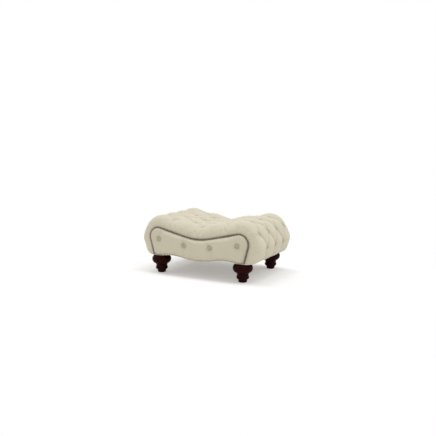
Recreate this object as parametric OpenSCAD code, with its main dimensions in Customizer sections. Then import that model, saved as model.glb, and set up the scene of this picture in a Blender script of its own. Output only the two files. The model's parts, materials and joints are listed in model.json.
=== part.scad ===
// Saddle footstool with a deep buttoned cover, padded facings and turned bun feet.
// Millimetres. X runs along the stool, Y from front to back, Z up from the floor.
// The origin is on the floor under the middle of the stool.
// Every outline of the body is one curve, set off outwards by a distance called n:
// a dip arc, a straight flank, a roll arc at each end and a side that leans in.
// n = 0 is the line of nails on the face.

/* [Saddle curve] */
// Height of the bottom of the dip above the feet, on the nail line
dip_rise = 153; // [130:1:180]
// Radius of the dip
dip_r = 480; // [400:5:600]
// Distance of each roll's centre from the middle
roll_x = 345; // [320:1:380]
// Height of each roll's centre above the feet
roll_rise = 144; // [130:1:160]
// Radius of each roll, on the nail line
roll_r = 74; // [62:1:86]
// Lean of the sides below the rolls, in degrees
side_lean = 15; // [8:1:20]

/* [Frame] */
// Depth of the wooden frame from face to face
frame_depth = 596; // [520:4:680]
// Thickness of the two profile boards
board_t = 18; // [15:1:22]
// How far the profile boards stand out from the nail line
board_out = 10; // [8:1:13]
// Thickness of the end rails and stretchers
rail_t = 20; // [16:1:25]
// Height of the end rails and stretchers
rail_h = 60; // [45:1:75]
// Distance of each stretcher from the middle
stretcher_x = 120; // [80:1:200]
// Side of a corner block
block_w = 84; // [76:1:96]
// Height of a corner block
block_h = 45; // [38:1:55]
// Width of a deck slat
slat_w = 26; // [20:1:28]
// Thickness of a deck slat
slat_t = 12; // [9:1:14]
// Smallest gap between two deck slats
slat_gap = 5; // [4:1:11]
// Radius of the dowels that join rails to boards
dowel_r = 4; // [3:0.5:5]
// Length of a dowel
dowel_len = 40; // [30:1:50]
// Length of the screws that hold the corner blocks
screw_len = 55; // [45:1:60]

/* [Bottom edge] */
// How far the facing drops in the middle, below the top of the feet
skirt_drop = 14; // [4:1:20]
// How far it arches up on each side of the drop
skirt_arch = 10; // [4:1:14]
// Distance of each arch from the middle
skirt_arch_x = 240; // [200:1:260]

/* [Feet] */
// Height of a foot
foot_h = 140; // [120:1:170]
// Distance of a foot's centre from the frame's outer faces
foot_inset = 42.5; // [38:0.5:48]
// Largest radius of the bulb
bulb_r = 74; // [68:1:80]
// Radius of the rounding of the bulb
bulb_round = 36; // [30:1:40]
// Depth of the bulb's widest place below the top
bulb_drop = 34.5; // [30:0.5:38]
// Radius of the collar on top of the bulb
collar_r = 61; // [56:1:64]
// Radius of the neck under the bulb
neck_r = 42; // [38:1:44]
// Radius of the hollow above the neck
neck_hollow = 22; // [18:1:26]
// Radius of the bead under the neck
bead_r = 47; // [45:1:50]
// Radius of the rounding of the bead
bead_round = 17; // [14:1:18]
// Height of the middle of the bead above the floor
bead_z = 38; // [34:1:40]
// Radius of the foot at the floor
toe_r = 32; // [28:1:36]
// Thickness of the glide under a foot
glide_t = 3; // [2:0.5:5]
// Radius of the glide
glide_r = 24; // [18:1:27]
// Radius of the bolt that holds a foot
bolt_r = 4; // [3:0.5:5]
// Depth of the bolt in the foot
bolt_sink = 42; // [30:1:50]

/* [Cover] */
// Offset of the top of the puffs from the nail line
puff_n = 86; // [80:1:94]
// Depth of a button below the puffs
tuft_depth = 20; // [12:1:22]
// Extra wadding in the dip
dip_wad = 10; // [0:1:14]
// How far the extra wadding reaches along the dip on each side
dip_wad_len = 260; // [200:5:300]
// Extra wadding on the sides below the rolls
side_wad = 9; // [0:1:12]
// Share of the depth that a fold rises between two buttons
fold_lift = 0.45; // [0.3:0.05:0.6]
// Thickness of the foam under the cover
foam_t = 32; // [24:1:34]
// Depth of the round front and back edges
border_depth = 60; // [45:1:66]
// Rounding of the cover's bottom corners
hem_round = 62; // [30:1:64]
// How far the last row of buttons lies above the end of the roll
last_row_rise = 9; // [0:1:20]
// Distance of the last row from the row above it
last_pitch = 100; // [90:1:124]
// Radius of a button
button_r = 12; // [10:0.5:14]
// Height of a button's dome
button_h = 6; // [4:0.5:8]
// Radius of the buttoning twine
twine_r = 1.2; // [0.8:0.1:1.5]
// Radius of the toggle that holds a twine
toggle_r = 4; // [3:0.5:5]

/* [Facings] */
// Thickness of the cover where it turns onto the boards
flange_t = 3.2; // [2:0.1:5]
// Thickness of the facing boards
facing_board_t = 3; // [2:0.5:5]
// Thickness of the facing cloth at the nails
facing_cloth_t = 1.2; // [0.8:0.1:2]
// Crown of the facing pads
facing_crown = 17; // [12:1:22]
// Depth of a facing button below the crown
facing_dimple = 9; // [5:0.5:10]
// Distance of the outer facing buttons from the middle
outer_button_x = 333; // [300:1:345]
// Height of the outer facing buttons above the feet
outer_button_rise = 133; // [110:1:145]
// Distance of the inner facing buttons from the middle
inner_button_x = 110; // [80:1:150]
// Height of the inner facing buttons above the feet
inner_button_rise = 100; // [80:1:110]
// Radius of a nail head
nail_r = 5.4; // [4:0.1:6]
// Height of a nail head
nail_h = 3; // [2:0.1:4]
// Distance from nail to nail
nail_pitch = 11.5; // [11:0.1:16]

/* [Hidden] */
$fn = 64;

// Clearance of a soft piece from its neighbour
soft_gap = 0.3;
// Clearance round a dowel, bolt or screw in its hole
hole_gap = 0.1;
// Extra length of a cut that runs out of a piece
past = 5;
// Lift that keeps the ends of a flat slat clear of the boards in the dip
slat_lift = 0.35;
// Room below the lowest slat, and below the lowest nail
hem_room = 4;
// How far the foam reaches over the profile boards
foam_over = 2;
// Height of the foam's bottom edges above the feet
foam_rise = 20;
// How far the end rails stand back from the boards' corners
rail_back = 2;
// Gap between the lining and the wood above it
dust_gap = 0.2;
// How far the boards end above the facings' bottom edge
board_lift = 3;
// How deep a button and its twine sit in the cloth
button_sink = 1;
// Rounding of the bottom corners on the nail line
hem_round_in = 6;
// Length of a half turn in radians, for arc lengths
rad = PI / 180;

// The saddle curve
dip_top = foot_h + dip_rise + dip_r;
roll_z = foot_h + roll_rise;
centres = norm([roll_x, dip_top - roll_z]);
flank = atan2(roll_x, dip_top - roll_z) - acos((dip_r + roll_r) / centres);
flank_len = sqrt(centres * centres - pow(dip_r + roll_r, 2));
roll_turn = 90 + flank + side_lean;

function dip_len(n) = (dip_r - n) * flank * rad;
function roll_len(n) = (roll_r + n) * roll_turn * rad;
function half_len(n) = dip_len(n) + flank_len + roll_len(n);

// Place on the nail line and outward direction, [x, z, dx, dz], for a distance s
// along the curve set off by n. A negative s is on the left.
function spot(s, n) =
    let (a = abs(s), side = s < 0 ? -1 : 1, d = dip_len(n), f = d + flank_len,
         t_dip = a / (dip_r - n) / rad,
         t_roll = 90 + flank - (a - f) / (roll_r + n) / rad,
         t_side = a - half_len(n))
    a < d ? [side * dip_r * sin(t_dip), dip_top - dip_r * cos(t_dip),
             -side * sin(t_dip), cos(t_dip)]
    : a < f ? [side * (dip_r * sin(flank) + (a - d) * cos(flank)),
               dip_top - dip_r * cos(flank) + (a - d) * sin(flank),
               -side * sin(flank), cos(flank)]
    : t_side < 0 ? [side * (roll_x + roll_r * cos(t_roll)), roll_z + roll_r * sin(t_roll),
                    side * cos(t_roll), sin(t_roll)]
    : [side * (roll_x + roll_r * cos(side_lean) - t_side * sin(side_lean)),
       roll_z - roll_r * sin(side_lean) - t_side * cos(side_lean),
       side * cos(side_lean), -sin(side_lean)];

// The point at offset n from a spot, as [x, z]
function off(p, n) = [p[0] + n * p[2], p[1] + n * p[3]];

// The same place along the curve, measured on offset b instead of offset a
function carry(s, a, b) =
    let (d = dip_len(a), f = d + flank_len, e = half_len(a))
    s < d ? s * (dip_r - b) / (dip_r - a)
    : s < f ? s - d + dip_len(b)
    : s < e ? dip_len(b) + flank_len + (s - f) * (roll_r + b) / (roll_r + a)
    : half_len(b) + s - e;

// Length of the side below the roll, at offset n, down to height z
function side_len(n, z) = (roll_z - (roll_r + n) * sin(side_lean) - z) / cos(side_lean);
function side_x(n, z) = roll_x + (roll_r + n) * cos(side_lean)
    - side_len(n, z) * sin(side_lean);

// The body's layers, as offsets from the nail line
slat_in = board_out + slat_lift;
slat_out = slat_in + slat_t;
foam_in = norm([roll_r + slat_out, slat_w / 2]) - roll_r + soft_gap;
foam_out = foam_in + foam_t;
button_n = puff_n - tuft_depth;
window_n = -12;
facing_n = 4.2;
facing_board_n = 3;
facing_board_lift = 1.2;

// The body's layers from the middle towards the front and back
frame_y = frame_depth / 2;
board_y = frame_y - board_t;
foam_y = board_y + foam_over;
flange_y = frame_y + soft_gap + flange_t;
facing_y = flange_y + soft_gap;
pad_y = facing_y + facing_board_t + soft_gap;
cloth_y = pad_y + facing_cloth_t;

// Heights
hem_z = foot_h + soft_gap;
foam_z = foot_h + foam_rise;
dust_t = 1;
dust_z = foot_h + skirt_arch + soft_gap;
rail_z = dust_z + dust_t + dust_gap;

// Feet and corners
corner_x = side_x(board_out, foot_h);
foot_x = corner_x - foot_inset;
foot_y = frame_y - foot_inset;
rail_out = corner_x - rail_back;
rail_in = rail_out - rail_t;
block_top = foot_h + block_h;

// Tufting: rows across the stool at even steps along the curve, and a shorter step to the
// last one, columns from front to back.
// A button stands where row and column numbers add up to an odd number.
rows = 5;
cols = 3;
tuft_n = 60;
last_row = half_len(tuft_n) - last_row_rise;
row_pitch = (last_row - last_pitch) / (rows - 1);
col_pitch = frame_y / (cols + 1);

// Distance along the curve of row u, which may lie between two rows
function row_s(u) = u <= rows - 1 ? u * row_pitch : last_row - (rows - u) * last_pitch;

function tuft_spots() = [for (i = [-rows:rows]) for (k = [-cols:cols])
    if (abs(i + k) % 2 == 1) [(i < 0 ? -1 : 1) * row_s(abs(i)), k * col_pitch]];

// Extra wadding at a distance s along the curve: a flat bell over the dip, and a step that
// rises up to the last row. Below the last row it fades over the share w of the way down.
function wadding(s, w) =
    let (t = max(0, (abs(s) - row_s(rows - 1)) / last_pitch))
    dip_wad * exp(-pow(s / dip_wad_len, 4)) + side_wad * pow(sin(90 * t), 4) * cos(90 * w);

// The bottom edge of the facings: a drop between two arches, all of round arcs.
// The radius of each S is that of two equal arcs from level to level.
arch_end_x = foot_x;
drop_len = skirt_arch_x;
drop_h = skirt_drop + skirt_arch;
drop_arc = (drop_len * drop_len + drop_h * drop_h) / 4 / drop_h;
arch_len = arch_end_x - skirt_arch_x;
arch_arc = (arch_len * arch_len + skirt_arch * skirt_arch) / 4 / skirt_arch;

function sag(x, r) = r - sqrt(r * r - x * x);
function skirt(x) =
    let (a = abs(x))
    a < drop_len / 2 ? hem_z - skirt_drop + sag(a, drop_arc)
    : a < skirt_arch_x ? hem_z + skirt_arch - sag(skirt_arch_x - a, drop_arc)
    : a < skirt_arch_x + arch_len / 2 ? hem_z + skirt_arch - sag(a - skirt_arch_x, arch_arc)
    : a < arch_end_x ? hem_z + sag(arch_end_x - a, arch_arc)
    : hem_z;

// Solid helpers

// Outline of the body at offset n, from height z up. The flank touches both arcs without
// a corner, so the arcs are written as short steps of equal angle and not cut as circles.
dip_steps = 6;
roll_steps = 20;

function half_outline(n, z) = concat(
    [for (k = [0:dip_steps]) let (t = flank * k / dip_steps, r = dip_r - n)
        [r * sin(t), dip_top - r * cos(t)]],
    [for (k = [0:roll_steps]) let (t = 90 + flank - roll_turn * k / roll_steps, r = roll_r + n)
        [roll_x + r * cos(t), roll_z + r * sin(t)]],
    [[side_x(n, z), z]]);

module outline(n, z) {
    half = half_outline(n, z);
    polygon(concat(half, [for (i = [len(half) - 1:-1:1]) [-half[i][0], half[i][1]]]));
}

// What lies below the bottom edge of the facings, set up by lift
module below_skirt(lift) {
    reach = 2 * roll_x;
    step = arch_end_x / 24;
    polygon(concat(
        [[-reach, 0], [-reach, hem_z + lift]],
        [for (i = [-24:24]) [i * step, skirt(i * step) + lift]],
        [[reach, hem_z + lift], [reach, 0]]));
}

// A flat piece that stands upright from y0 to y1
module upright(y0, y1) {
    translate([0, y1, 0]) rotate([90, 0, 0]) linear_extrude(y1 - y0) children();
}

// The same piece at the front, made from the back one
module at_front() {
    mirror([0, 1, 0]) children();
}

// Sets a piece on the saddle: its Z is the outward direction, its origin at offset n
module on_saddle(s, ref, n, y) {
    p = spot(s, ref);
    q = off(p, n);
    translate([q[0], y, q[1]]) rotate([0, atan2(p[2], p[3]), 0]) children();
}

module at_feet() {
    for (sx = [-1, 1]) for (sy = [-1, 1]) scale_side(sx, sy) children();
}

// Mirrors a piece of the back right corner into another corner
module scale_side(sx, sy) {
    mirror([sx < 0 ? 1 : 0, 0, 0]) mirror([0, sy < 0 ? 1 : 0, 0]) children();
}

// Frame

rail_places = [rail_in + rail_t / 2, stretcher_x];
dowel_heights = [rail_z + rail_h / 4, rail_z + rail_h * 3 / 4];
dowel_cover = 4;
dowel_in_board = board_t - dowel_cover;

module dowel_set(gap) {
    for (x = rail_places) for (z = dowel_heights)
        translate([x, board_y + dowel_in_board + gap, z]) rotate([90, 0, 0])
            cylinder(h = dowel_len + 2 * gap, r = dowel_r + gap);
}

// Screws through the board and the rail into a corner block
screw_r = 2.4;
screw_head_r = 4.6;
screw_head_h = 3;
screw_low = foot_h + block_h / 4;
screw_high = foot_h + block_h * 3 / 4;
screw_edge = 14;
board_screw_step = 26;
rail_screw_step = 20;
block_in_x = rail_in - block_w;
block_in_y = board_y - block_w;

module screw(gap) {
    cylinder(h = screw_len + gap, r = screw_r + gap);
    cylinder(h = screw_head_h, r1 = screw_head_r + gap, r2 = screw_r + gap);
}

module screw_set(gap) {
    board_screws = [[block_in_x + screw_edge, screw_low],
                    [block_in_x + screw_edge + board_screw_step, screw_high]];
    rail_screws = [[block_in_y + screw_edge, screw_high],
                   [block_in_y + screw_edge + rail_screw_step, screw_high]];
    for (p = board_screws)
        translate([p[0], frame_y, p[1]]) rotate([90, 0, 0]) screw(gap);
    for (p = rail_screws)
        translate([rail_out, p[0], p[1]]) rotate([0, -90, 0]) screw(gap);
}

facing_button_spots = [
    [-outer_button_x, foot_h + outer_button_rise], [-inner_button_x, foot_h + inner_button_rise],
    [inner_button_x, foot_h + inner_button_rise], [outer_button_x, foot_h + outer_button_rise]];

// Holes for the twines of the facing buttons
module facing_twine_holes(y0, y1) {
    for (p = facing_button_spots) translate([p[0], y1, p[1]]) rotate([90, 0, 0])
        cylinder(h = y1 - y0, r = twine_r + soft_gap);
}

module profile_board() {
    difference() {
        upright(board_y, frame_y) difference() {
            outline(board_out, foot_h - skirt_drop);
            below_skirt(board_lift);
        }
        facing_twine_holes(board_y - past, frame_y + past);
        for (sx = [-1, 1]) scale_side(sx, 1) {
            dowel_set(hole_gap);
            screw_set(hole_gap);
        }
    }
}

module end_rail() {
    difference() {
        translate([rail_in, -board_y, rail_z]) cube([rail_t, 2 * board_y, rail_h]);
        for (sy = [-1, 1]) scale_side(1, sy) {
            dowel_set(hole_gap);
            screw_set(hole_gap);
        }
    }
}

module stretcher() {
    difference() {
        translate([stretcher_x - rail_t / 2, -board_y, rail_z])
            cube([rail_t, 2 * board_y, rail_h]);
        for (sy = [-1, 1]) scale_side(1, sy) dowel_set(hole_gap);
    }
}

tee_flange_r = 12;
tee_flange_t = 1.5;
tee_barrel_r = bolt_r + 1.2;
tee_barrel_h = 10;

// Block in the back right corner, with its inner corner cut off
module corner_block() {
    cut = block_w * 0.45;
    difference() {
        translate([0, 0, foot_h]) linear_extrude(block_h) polygon([
            [rail_in, board_y], [block_in_x, board_y], [block_in_x, block_in_y + cut],
            [block_in_x + cut, block_in_y], [rail_in, block_in_y]]);
        translate([foot_x, foot_y, foot_h - past])
            cylinder(h = block_h + 2 * past, r = tee_barrel_r + hole_gap);
        screw_set(hole_gap);
    }
}

// Deck slats in the bay between two button rows, so that twines pass between slats
module slat_bay(i) {
    from = carry(row_s(i), tuft_n, slat_in);
    last = half_len(slat_in) + side_len(slat_in, hem_z + hem_room);
    to = i < rows ? carry(row_s(i + 1), tuft_n, slat_in) : last;
    count = floor((to - from) / (slat_w + slat_gap));
    step = (to - from) / count;
    for (k = [0:count - 1])
        on_saddle(from + (k + 0.5) * step, slat_in, slat_in, 0)
            translate([-slat_w / 2, -frame_y, 0]) cube([slat_w, frame_depth, slat_t]);
}

// The bays whose twine rows lie on the dip and the flanks
saddle_bays = 3;

module front_profile_board() { color("burlywood") at_front() profile_board(); }
module back_profile_board() { color("burlywood") profile_board(); }
module left_end_rail() { color("tan") scale_side(-1, 1) end_rail(); }
module right_end_rail() { color("tan") end_rail(); }
module left_stretcher() { color("tan") scale_side(-1, 1) stretcher(); }
module right_stretcher() { color("tan") stretcher(); }
module corner_block_front_left() { color("peru") scale_side(-1, -1) corner_block(); }
module corner_block_front_right() { color("peru") scale_side(1, -1) corner_block(); }
module corner_block_back_left() { color("peru") scale_side(-1, 1) corner_block(); }
module corner_block_back_right() { color("peru") corner_block(); }

module saddle_slats() {
    color("wheat") for (sx = [-1, 1]) scale_side(sx, 1)
        for (i = [0:saddle_bays - 1]) slat_bay(i);
}

module right_end_slats() { color("wheat") for (i = [saddle_bays:rows]) slat_bay(i); }
module left_end_slats() { color("wheat") scale_side(-1, 1) for (i = [saddle_bays:rows]) slat_bay(i); }
module frame_dowels() { color("moccasin") at_feet() dowel_set(0); }
module block_screws() { color("silver") at_feet() screw_set(0); }

// Feet

// Half section of a turned foot: collar, bulb, hollow neck, bead and toe
module foot_section() {
    bulb_z = foot_h - bulb_drop;
    bulb_c = bulb_r - bulb_round;
    hollow_c = neck_r + neck_hollow;
    apart = bulb_round + neck_hollow;
    hollow_z = bulb_z - sqrt(apart * apart - pow(hollow_c - bulb_c, 2));
    // Where the bulb's arc meets the hollow's arc
    meet = [bulb_c + (hollow_c - bulb_c) * bulb_round / apart,
            bulb_z - (bulb_z - hollow_z) * bulb_round / apart];
    neck_low = bead_z + bead_round * 0.7;
    difference() {
        union() {
            polygon([[0, glide_t], [toe_r, glide_t], [toe_r, bead_z], [neck_r, neck_low],
                     [neck_r, hollow_z], [hollow_c, hollow_z], meet, [bulb_c, bulb_z],
                     [collar_r, bulb_z], [collar_r, foot_h], [0, foot_h]]);
            translate([bulb_c, bulb_z]) circle(bulb_round);
            translate([bead_r - bead_round, bead_z]) circle(bead_round);
        }
        translate([hollow_c, hollow_z]) circle(neck_hollow);
    }
}

module foot() {
    translate([foot_x, foot_y, 0]) difference() {
        rotate_extrude($fn = 96) foot_section();
        translate([0, 0, foot_h - bolt_sink - 1])
            cylinder(h = bolt_sink + past, r = bolt_r + hole_gap);
        translate([0, 0, glide_t - past])
            cylinder(h = glide_pin_h + past + 1, r = glide_pin_r + hole_gap);
    }
}

glide_pin_r = 1.5;
glide_pin_h = 14;

module foot_front_left() { color("#2a0f0d") scale_side(-1, -1) foot(); }
module foot_front_right() { color("#2a0f0d") scale_side(1, -1) foot(); }
module foot_back_left() { color("#2a0f0d") scale_side(-1, 1) foot(); }
module foot_back_right() { color("#2a0f0d") foot(); }

module foot_glides() {
    color("dimgray") at_feet() translate([foot_x, foot_y, 0]) {
        cylinder(h = glide_t, r = glide_r);
        cylinder(h = glide_t + glide_pin_h, r = glide_pin_r);
    }
}

module hanger_bolts() {
    color("silver") at_feet() translate([foot_x, foot_y, foot_h - bolt_sink])
        cylinder(h = bolt_sink + block_h + tee_flange_t, r = bolt_r);
}

module tee_nuts() {
    color("gray") at_feet() translate([foot_x, foot_y, 0]) difference() {
        union() {
            translate([0, 0, block_top]) cylinder(h = tee_flange_t, r = tee_flange_r);
            translate([0, 0, block_top - tee_barrel_h]) cylinder(h = tee_barrel_h, r = tee_barrel_r);
        }
        translate([0, 0, block_top - tee_barrel_h - past])
            cylinder(h = tee_barrel_h + 2 * past, r = bolt_r + hole_gap);
    }
}

// Seat

foam_hole_r = 9;

module seat_foam() {
    color("khaki") difference() {
        upright(-foam_y, foam_y) difference() {
            outline(foam_out, foam_z);
            outline(foam_in, foam_z - past);
            translate([-2 * roll_x, 0]) square([4 * roll_x, foam_z]);
        }
        for (p = tuft_spots()) on_saddle(p[0], tuft_n, foam_in - past, p[1])
            cylinder(h = foam_t + 2 * past, r = foam_hole_r, $fn = 24);
    }
}

// Power of a puff's rise next to a fold: below 1 it starts steep
fold_power = 0.6;

// Height of the quilting between 0 at a button and 1 on a puff, for row u and column v.
// Folds run along the two diagonals through the buttons. a and b are sines that are 0
// on the folds of one diagonal each, so their product is 0 on every fold, and the second
// part lifts a fold between its two buttons.
function puff(u, v) =
    let (a = abs(sin(90 * (u + v - 1))), b = abs(sin(90 * (u - v - 1))))
    (1 - fold_lift) * pow(a * b, fold_power) + fold_lift * (1 - (1 - a * a) * (1 - b * b));

// The cover's grid: steps of a third of a row or column, then steps down the side and
// round the hem, or round the border to the nail line
sub = 3;
hem_steps = 5;
border_steps = 5;
last_i = rows * sub + hem_steps;
last_j = cols * sub + border_steps;
border_n = 2;

// Share of the fold depth that is left below the last row and past the last column
function hem_fade(i) = 1 - 0.1 * max(0, i - rows * sub);
function border_fade(j) = pow(1 - max(0, j - cols * sub) / border_steps, 1.2);

// Angle round the border, 90 on the top and 0 at the nail line
function border_turn(j) = 90 * pow(1 - max(0, j - cols * sub) / border_steps, 1.15);

// A point of the outer cover, for grid numbers i and j counted from the middle
function cover_point(i, j) =
    let (ai = abs(i), aj = abs(j), side = i < 0 ? -1 : 1,
         u = min(ai / sub, rows), v = min(aj / sub, cols),
         turn = aj > cols * sub ? border_turn(aj) : 90,
         low = (1 - puff(u, v)) * hem_fade(ai) * border_fade(aj),
         wad = wadding(row_s(u), max(0, ai - rows * sub) / hem_steps),
         top_n = puff_n + wad - tuft_depth * low,
         n = border_n + (top_n - border_n) * sin(turn),
         y = aj > cols * sub ? cloth_y - border_depth * (1 - cos(turn)) : v * col_pitch,
         q = ai <= rows * sub ? off(spot(row_s(u), tuft_n), n)
             : hem_point(ai - rows * sub, n))
    [side * q[0], j < 0 ? -y : y, q[1]];

// Points down the side and round the hem at offset n: three straight steps, then an arc
function hem_point(k, n) =
    let (r = hem_round_in + (hem_round - hem_round_in) * n / puff_n,
         half = (90 - side_lean) / 2,
         end_x = side_x(n, hem_z) - r * tan(half),
         straight = side_len(n, hem_z) - r * tan(half),
         t = (straight + last_row_rise) * min(k, 3) / 3,
         a = side_lean + half * (k - 3))
    k <= 3 ? off(spot(last_row + t, tuft_n), n)
    : [end_x + r * cos(a), hem_z + r - r * sin(a)];

// Two triangles of a grid cell, split along the fold that runs through it
function cell(a, b, c, d, rising) =
    rising ? [[a, d, c], [a, c, b]] : [[a, d, b], [b, d, c]];

module cover_block() {
    wide = 2 * last_j + 1;
    points = [for (i = [-last_i:last_i]) for (j = [-last_j:last_j]) cover_point(i, j)];
    skin = [for (i = [0:2 * last_i - 1]) for (j = [0:2 * last_j - 1])
        let (a = i * wide + j,
             row = floor((i - last_i) / sub), col = floor((j - last_j) / sub),
             rising = abs(row + col) % 2 == 1)
        for (face = cell(a, a + wide, a + wide + 1, a + 1, rising)) face];
    front = [for (i = [0:2 * last_i]) i * wide];
    back = [for (i = [2 * last_i:-1:0]) i * wide + wide - 1];
    under = [for (j = [0:wide - 2]) let (a = j, b = 2 * last_i * wide + j)
        for (face = cell(a, a + 1, b + 1, b, true)) face];
    polyhedron(points, concat(skin, under, [front, back]));
}

// Seat of a button, and the hole of its twine below it
module button_seat(depth) {
    translate([0, 0, -button_sink]) cylinder(h = tuft_depth + button_h, r = button_r + soft_gap);
    translate([0, 0, -depth]) cylinder(h = depth, r = twine_r + soft_gap, $fn = 16);
}

module tufted_cover() {
    color("#dbd5c1") difference() {
        cover_block();
        upright(-foam_y - soft_gap, foam_y + soft_gap) difference() {
            outline(foam_out + soft_gap, foam_z - soft_gap);
            translate([-2 * roll_x, 0]) square([4 * roll_x, foam_z - soft_gap]);
        }
        upright(-frame_y - soft_gap, frame_y + soft_gap)
            outline(foam_in + soft_gap, foot_h - skirt_drop);
        upright(-cloth_y - past, cloth_y + past) outline(window_n, foot_h - skirt_drop);
        for (sy = [-1, 1]) scale_side(1, sy)
            upright(flange_y, cloth_y + past) outline(facing_n + soft_gap, foot_h - skirt_drop);
        for (p = tuft_spots()) on_saddle(p[0], tuft_n, button_n + wadding(p[0], 0), p[1])
            button_seat(tuft_depth + dip_wad + 2 * past);
    }
}

// A covered button, flat at the back and domed in front
module button() {
    rim = 1.5;
    dome = button_h - rim;
    dome_r = (button_r * button_r + dome * dome) / 2 / dome;
    rotate_extrude() intersection() {
        square([button_r, button_h]);
        translate([0, button_h - dome_r]) circle(dome_r, $fn = 128);
    }
}

module seat_buttons() {
    color("#cbc5b0") for (p = tuft_spots())
        on_saddle(p[0], tuft_n, button_n + wadding(p[0], 0) - button_sink + soft_gap, p[1])
            button();
}

toggle_len = 28;

// A toggle lies across the gap of two slats. On the rolls the slats turn away from it by
// half of the angle from slat to slat, which sets how deep it has to lie to clear them.
function slat_step(bay) = bay / floor(bay / (slat_w + slat_gap));
roll_share = (roll_r + slat_in) / (roll_r + tuft_n);
roll_step = max(slat_step(row_pitch * roll_share), slat_step(last_pitch * roll_share));
roll_half = roll_step / 2 / (roll_r + slat_in) / rad;
toggle_top = (roll_r + slat_in - soft_gap - toggle_len / 2 * sin(roll_half)) / cos(roll_half)
    - roll_r;
toggle_n = toggle_top - toggle_r;
twine_low = toggle_top + 0.2;

module seat_twines() {
    color("beige") for (p = tuft_spots()) on_saddle(p[0], tuft_n, twine_low, p[1])
        cylinder(h = button_n + wadding(p[0], 0) - button_sink - twine_low, r = twine_r, $fn = 16);
}

module seat_toggles() {
    color("sienna") for (p = tuft_spots()) on_saddle(p[0], tuft_n, toggle_n, p[1])
        translate([-toggle_len / 2, 0, 0]) rotate([0, 90, 0])
            cylinder(h = toggle_len, r = toggle_r, $fn = 24);
}

// Facings

module facing_board() {
    difference() {
        upright(facing_y, facing_y + facing_board_t) difference() {
            outline(facing_board_n, foot_h - skirt_drop);
            below_skirt(facing_board_lift);
        }
        facing_twine_holes(facing_y - past, cloth_y + past);
    }
}

// The facing pad is a patch stretched between four edges: the saddle curve on top, the
// skirt below and the two sides, which run from the bottom up round half of each roll.
patch_u = 36;
patch_v = 12;
patch_rim = -6;
top_s = dip_len(0) + flank_len + roll_r * (flank + 45) * rad;

// Points of the four edges at offset n, with lift above the skirt
function edge_low_s(n, lift) = half_len(0) + side_len(n, hem_z + lift);
function edge_x(n, lift) = side_x(n, hem_z + lift);
function top_edge(u, n) = off(spot((2 * u - 1) * top_s, 0), n);
function side_edge(v, n, lift) =
    off(spot(edge_low_s(n, lift) + (top_s - edge_low_s(n, lift)) * v, 0), n);
function low_edge(u, n, lift) =
    let (x = (2 * u - 1) * edge_x(n, lift)) [x, skirt(x) + lift];

function patch_point(u, v) =
    let (n = patch_rim, lift = -patch_rim,
         right = side_edge(v, n, lift), left = [-right[0], right[1]],
         low = low_edge(u, n, lift), top = top_edge(u, n),
         c00 = low_edge(0, n, lift), c10 = low_edge(1, n, lift),
         c01 = top_edge(0, n), c11 = top_edge(1, n))
    (1 - v) * low + v * top + (1 - u) * left + u * right
    - (1 - u) * (1 - v) * c00 - u * (1 - v) * c10 - (1 - u) * v * c01 - u * v * c11;

// Rise of the pad over the rim: steep at the edges, crowned in the middle, with a dimple
// at each button
function dimple(q) = max([for (p = facing_button_spots)
    exp(-pow(norm(q - p) / (1.6 * button_r), 2))]);
function pad_rise(u, v, q) =
    let (e = 1 - pow(abs(2 * u - 1), 10), f = 1 - pow(abs(2 * v - 1), 4))
    facing_crown * sqrt(max(0, e * f)) - facing_dimple * dimple(q);

// Steps up the pad are closer at the edges
function step_v(j) = 0.5 - 0.5 * cos(180 * j / patch_v);

module facing_pad_block() {
    nu = patch_u;
    nv = patch_v;
    wide = nv + 1;
    grid = [for (i = [0:nu]) for (j = [0:nv])
        let (u = i / nu, v = step_v(j), q = patch_point(u, v))
        [q[0], cloth_y + pad_rise(u, v, q), q[1]]];
    // Grid numbers of the rim, anticlockwise as seen from the back
    rim = concat([for (i = [0:nu]) i * wide], [for (j = [1:nv]) nu * wide + j],
                 [for (i = [nu - 1:-1:0]) i * wide + nv], [for (j = [nv - 1:-1:1]) j]);
    edge = len(rim);
    outer = [for (k = [0:edge - 1])
        let (g = rim[k], i = floor(g / wide), j = g % wide, u = i / nu,
             r = side_edge(step_v(j), facing_n, 0))
        i == 0 ? [-r[0], r[1]] : i == nu ? r : j == 0 ? low_edge(u, facing_n, 0)
        : top_edge(u, facing_n)];
    ring0 = len(grid);
    ring1 = ring0 + edge;
    points = concat(grid, [for (q = outer) [q[0], cloth_y, q[1]]],
                    [for (q = outer) [q[0], pad_y, q[1]]]);
    patch = [for (i = [0:nu - 1]) for (j = [0:nv - 1]) let (a = i * wide + j)
        for (face = cell(a, a + 1, a + wide + 1, a + wide, (i < nu / 2) == (j < nv / 2))) face];
    band = [for (k = [0:edge - 1]) let (m = (k + 1) % edge)
        for (face = concat(cell(rim[k], ring0 + k, ring0 + m, rim[m], true),
                           cell(ring0 + k, ring1 + k, ring1 + m, ring0 + m, true)))
        [face[2], face[1], face[0]]];
    base = [for (k = [edge - 1:-1:0]) ring1 + k];
    polyhedron(points, concat(patch, band, [base]));
}

facing_button_y = cloth_y + facing_crown - facing_dimple;

module facing_pad() {
    difference() {
        facing_pad_block();
        for (p = facing_button_spots) translate([p[0], facing_button_y, p[1]])
            rotate([-90, 0, 0]) button_seat(facing_crown);
    }
}

module facing_buttons() {
    for (p = facing_button_spots) translate([p[0], facing_button_y - button_sink + soft_gap, p[1]])
        rotate([-90, 0, 0]) button();
}

module facing_twines() {
    color("beige") for (sy = [-1, 1]) scale_side(1, sy) for (p = facing_button_spots)
        translate([p[0], facing_button_y - button_sink, p[1]]) rotate([90, 0, 0])
            cylinder(h = facing_button_y - button_sink - board_y + hole_gap, r = twine_r, $fn = 16);
}

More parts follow.
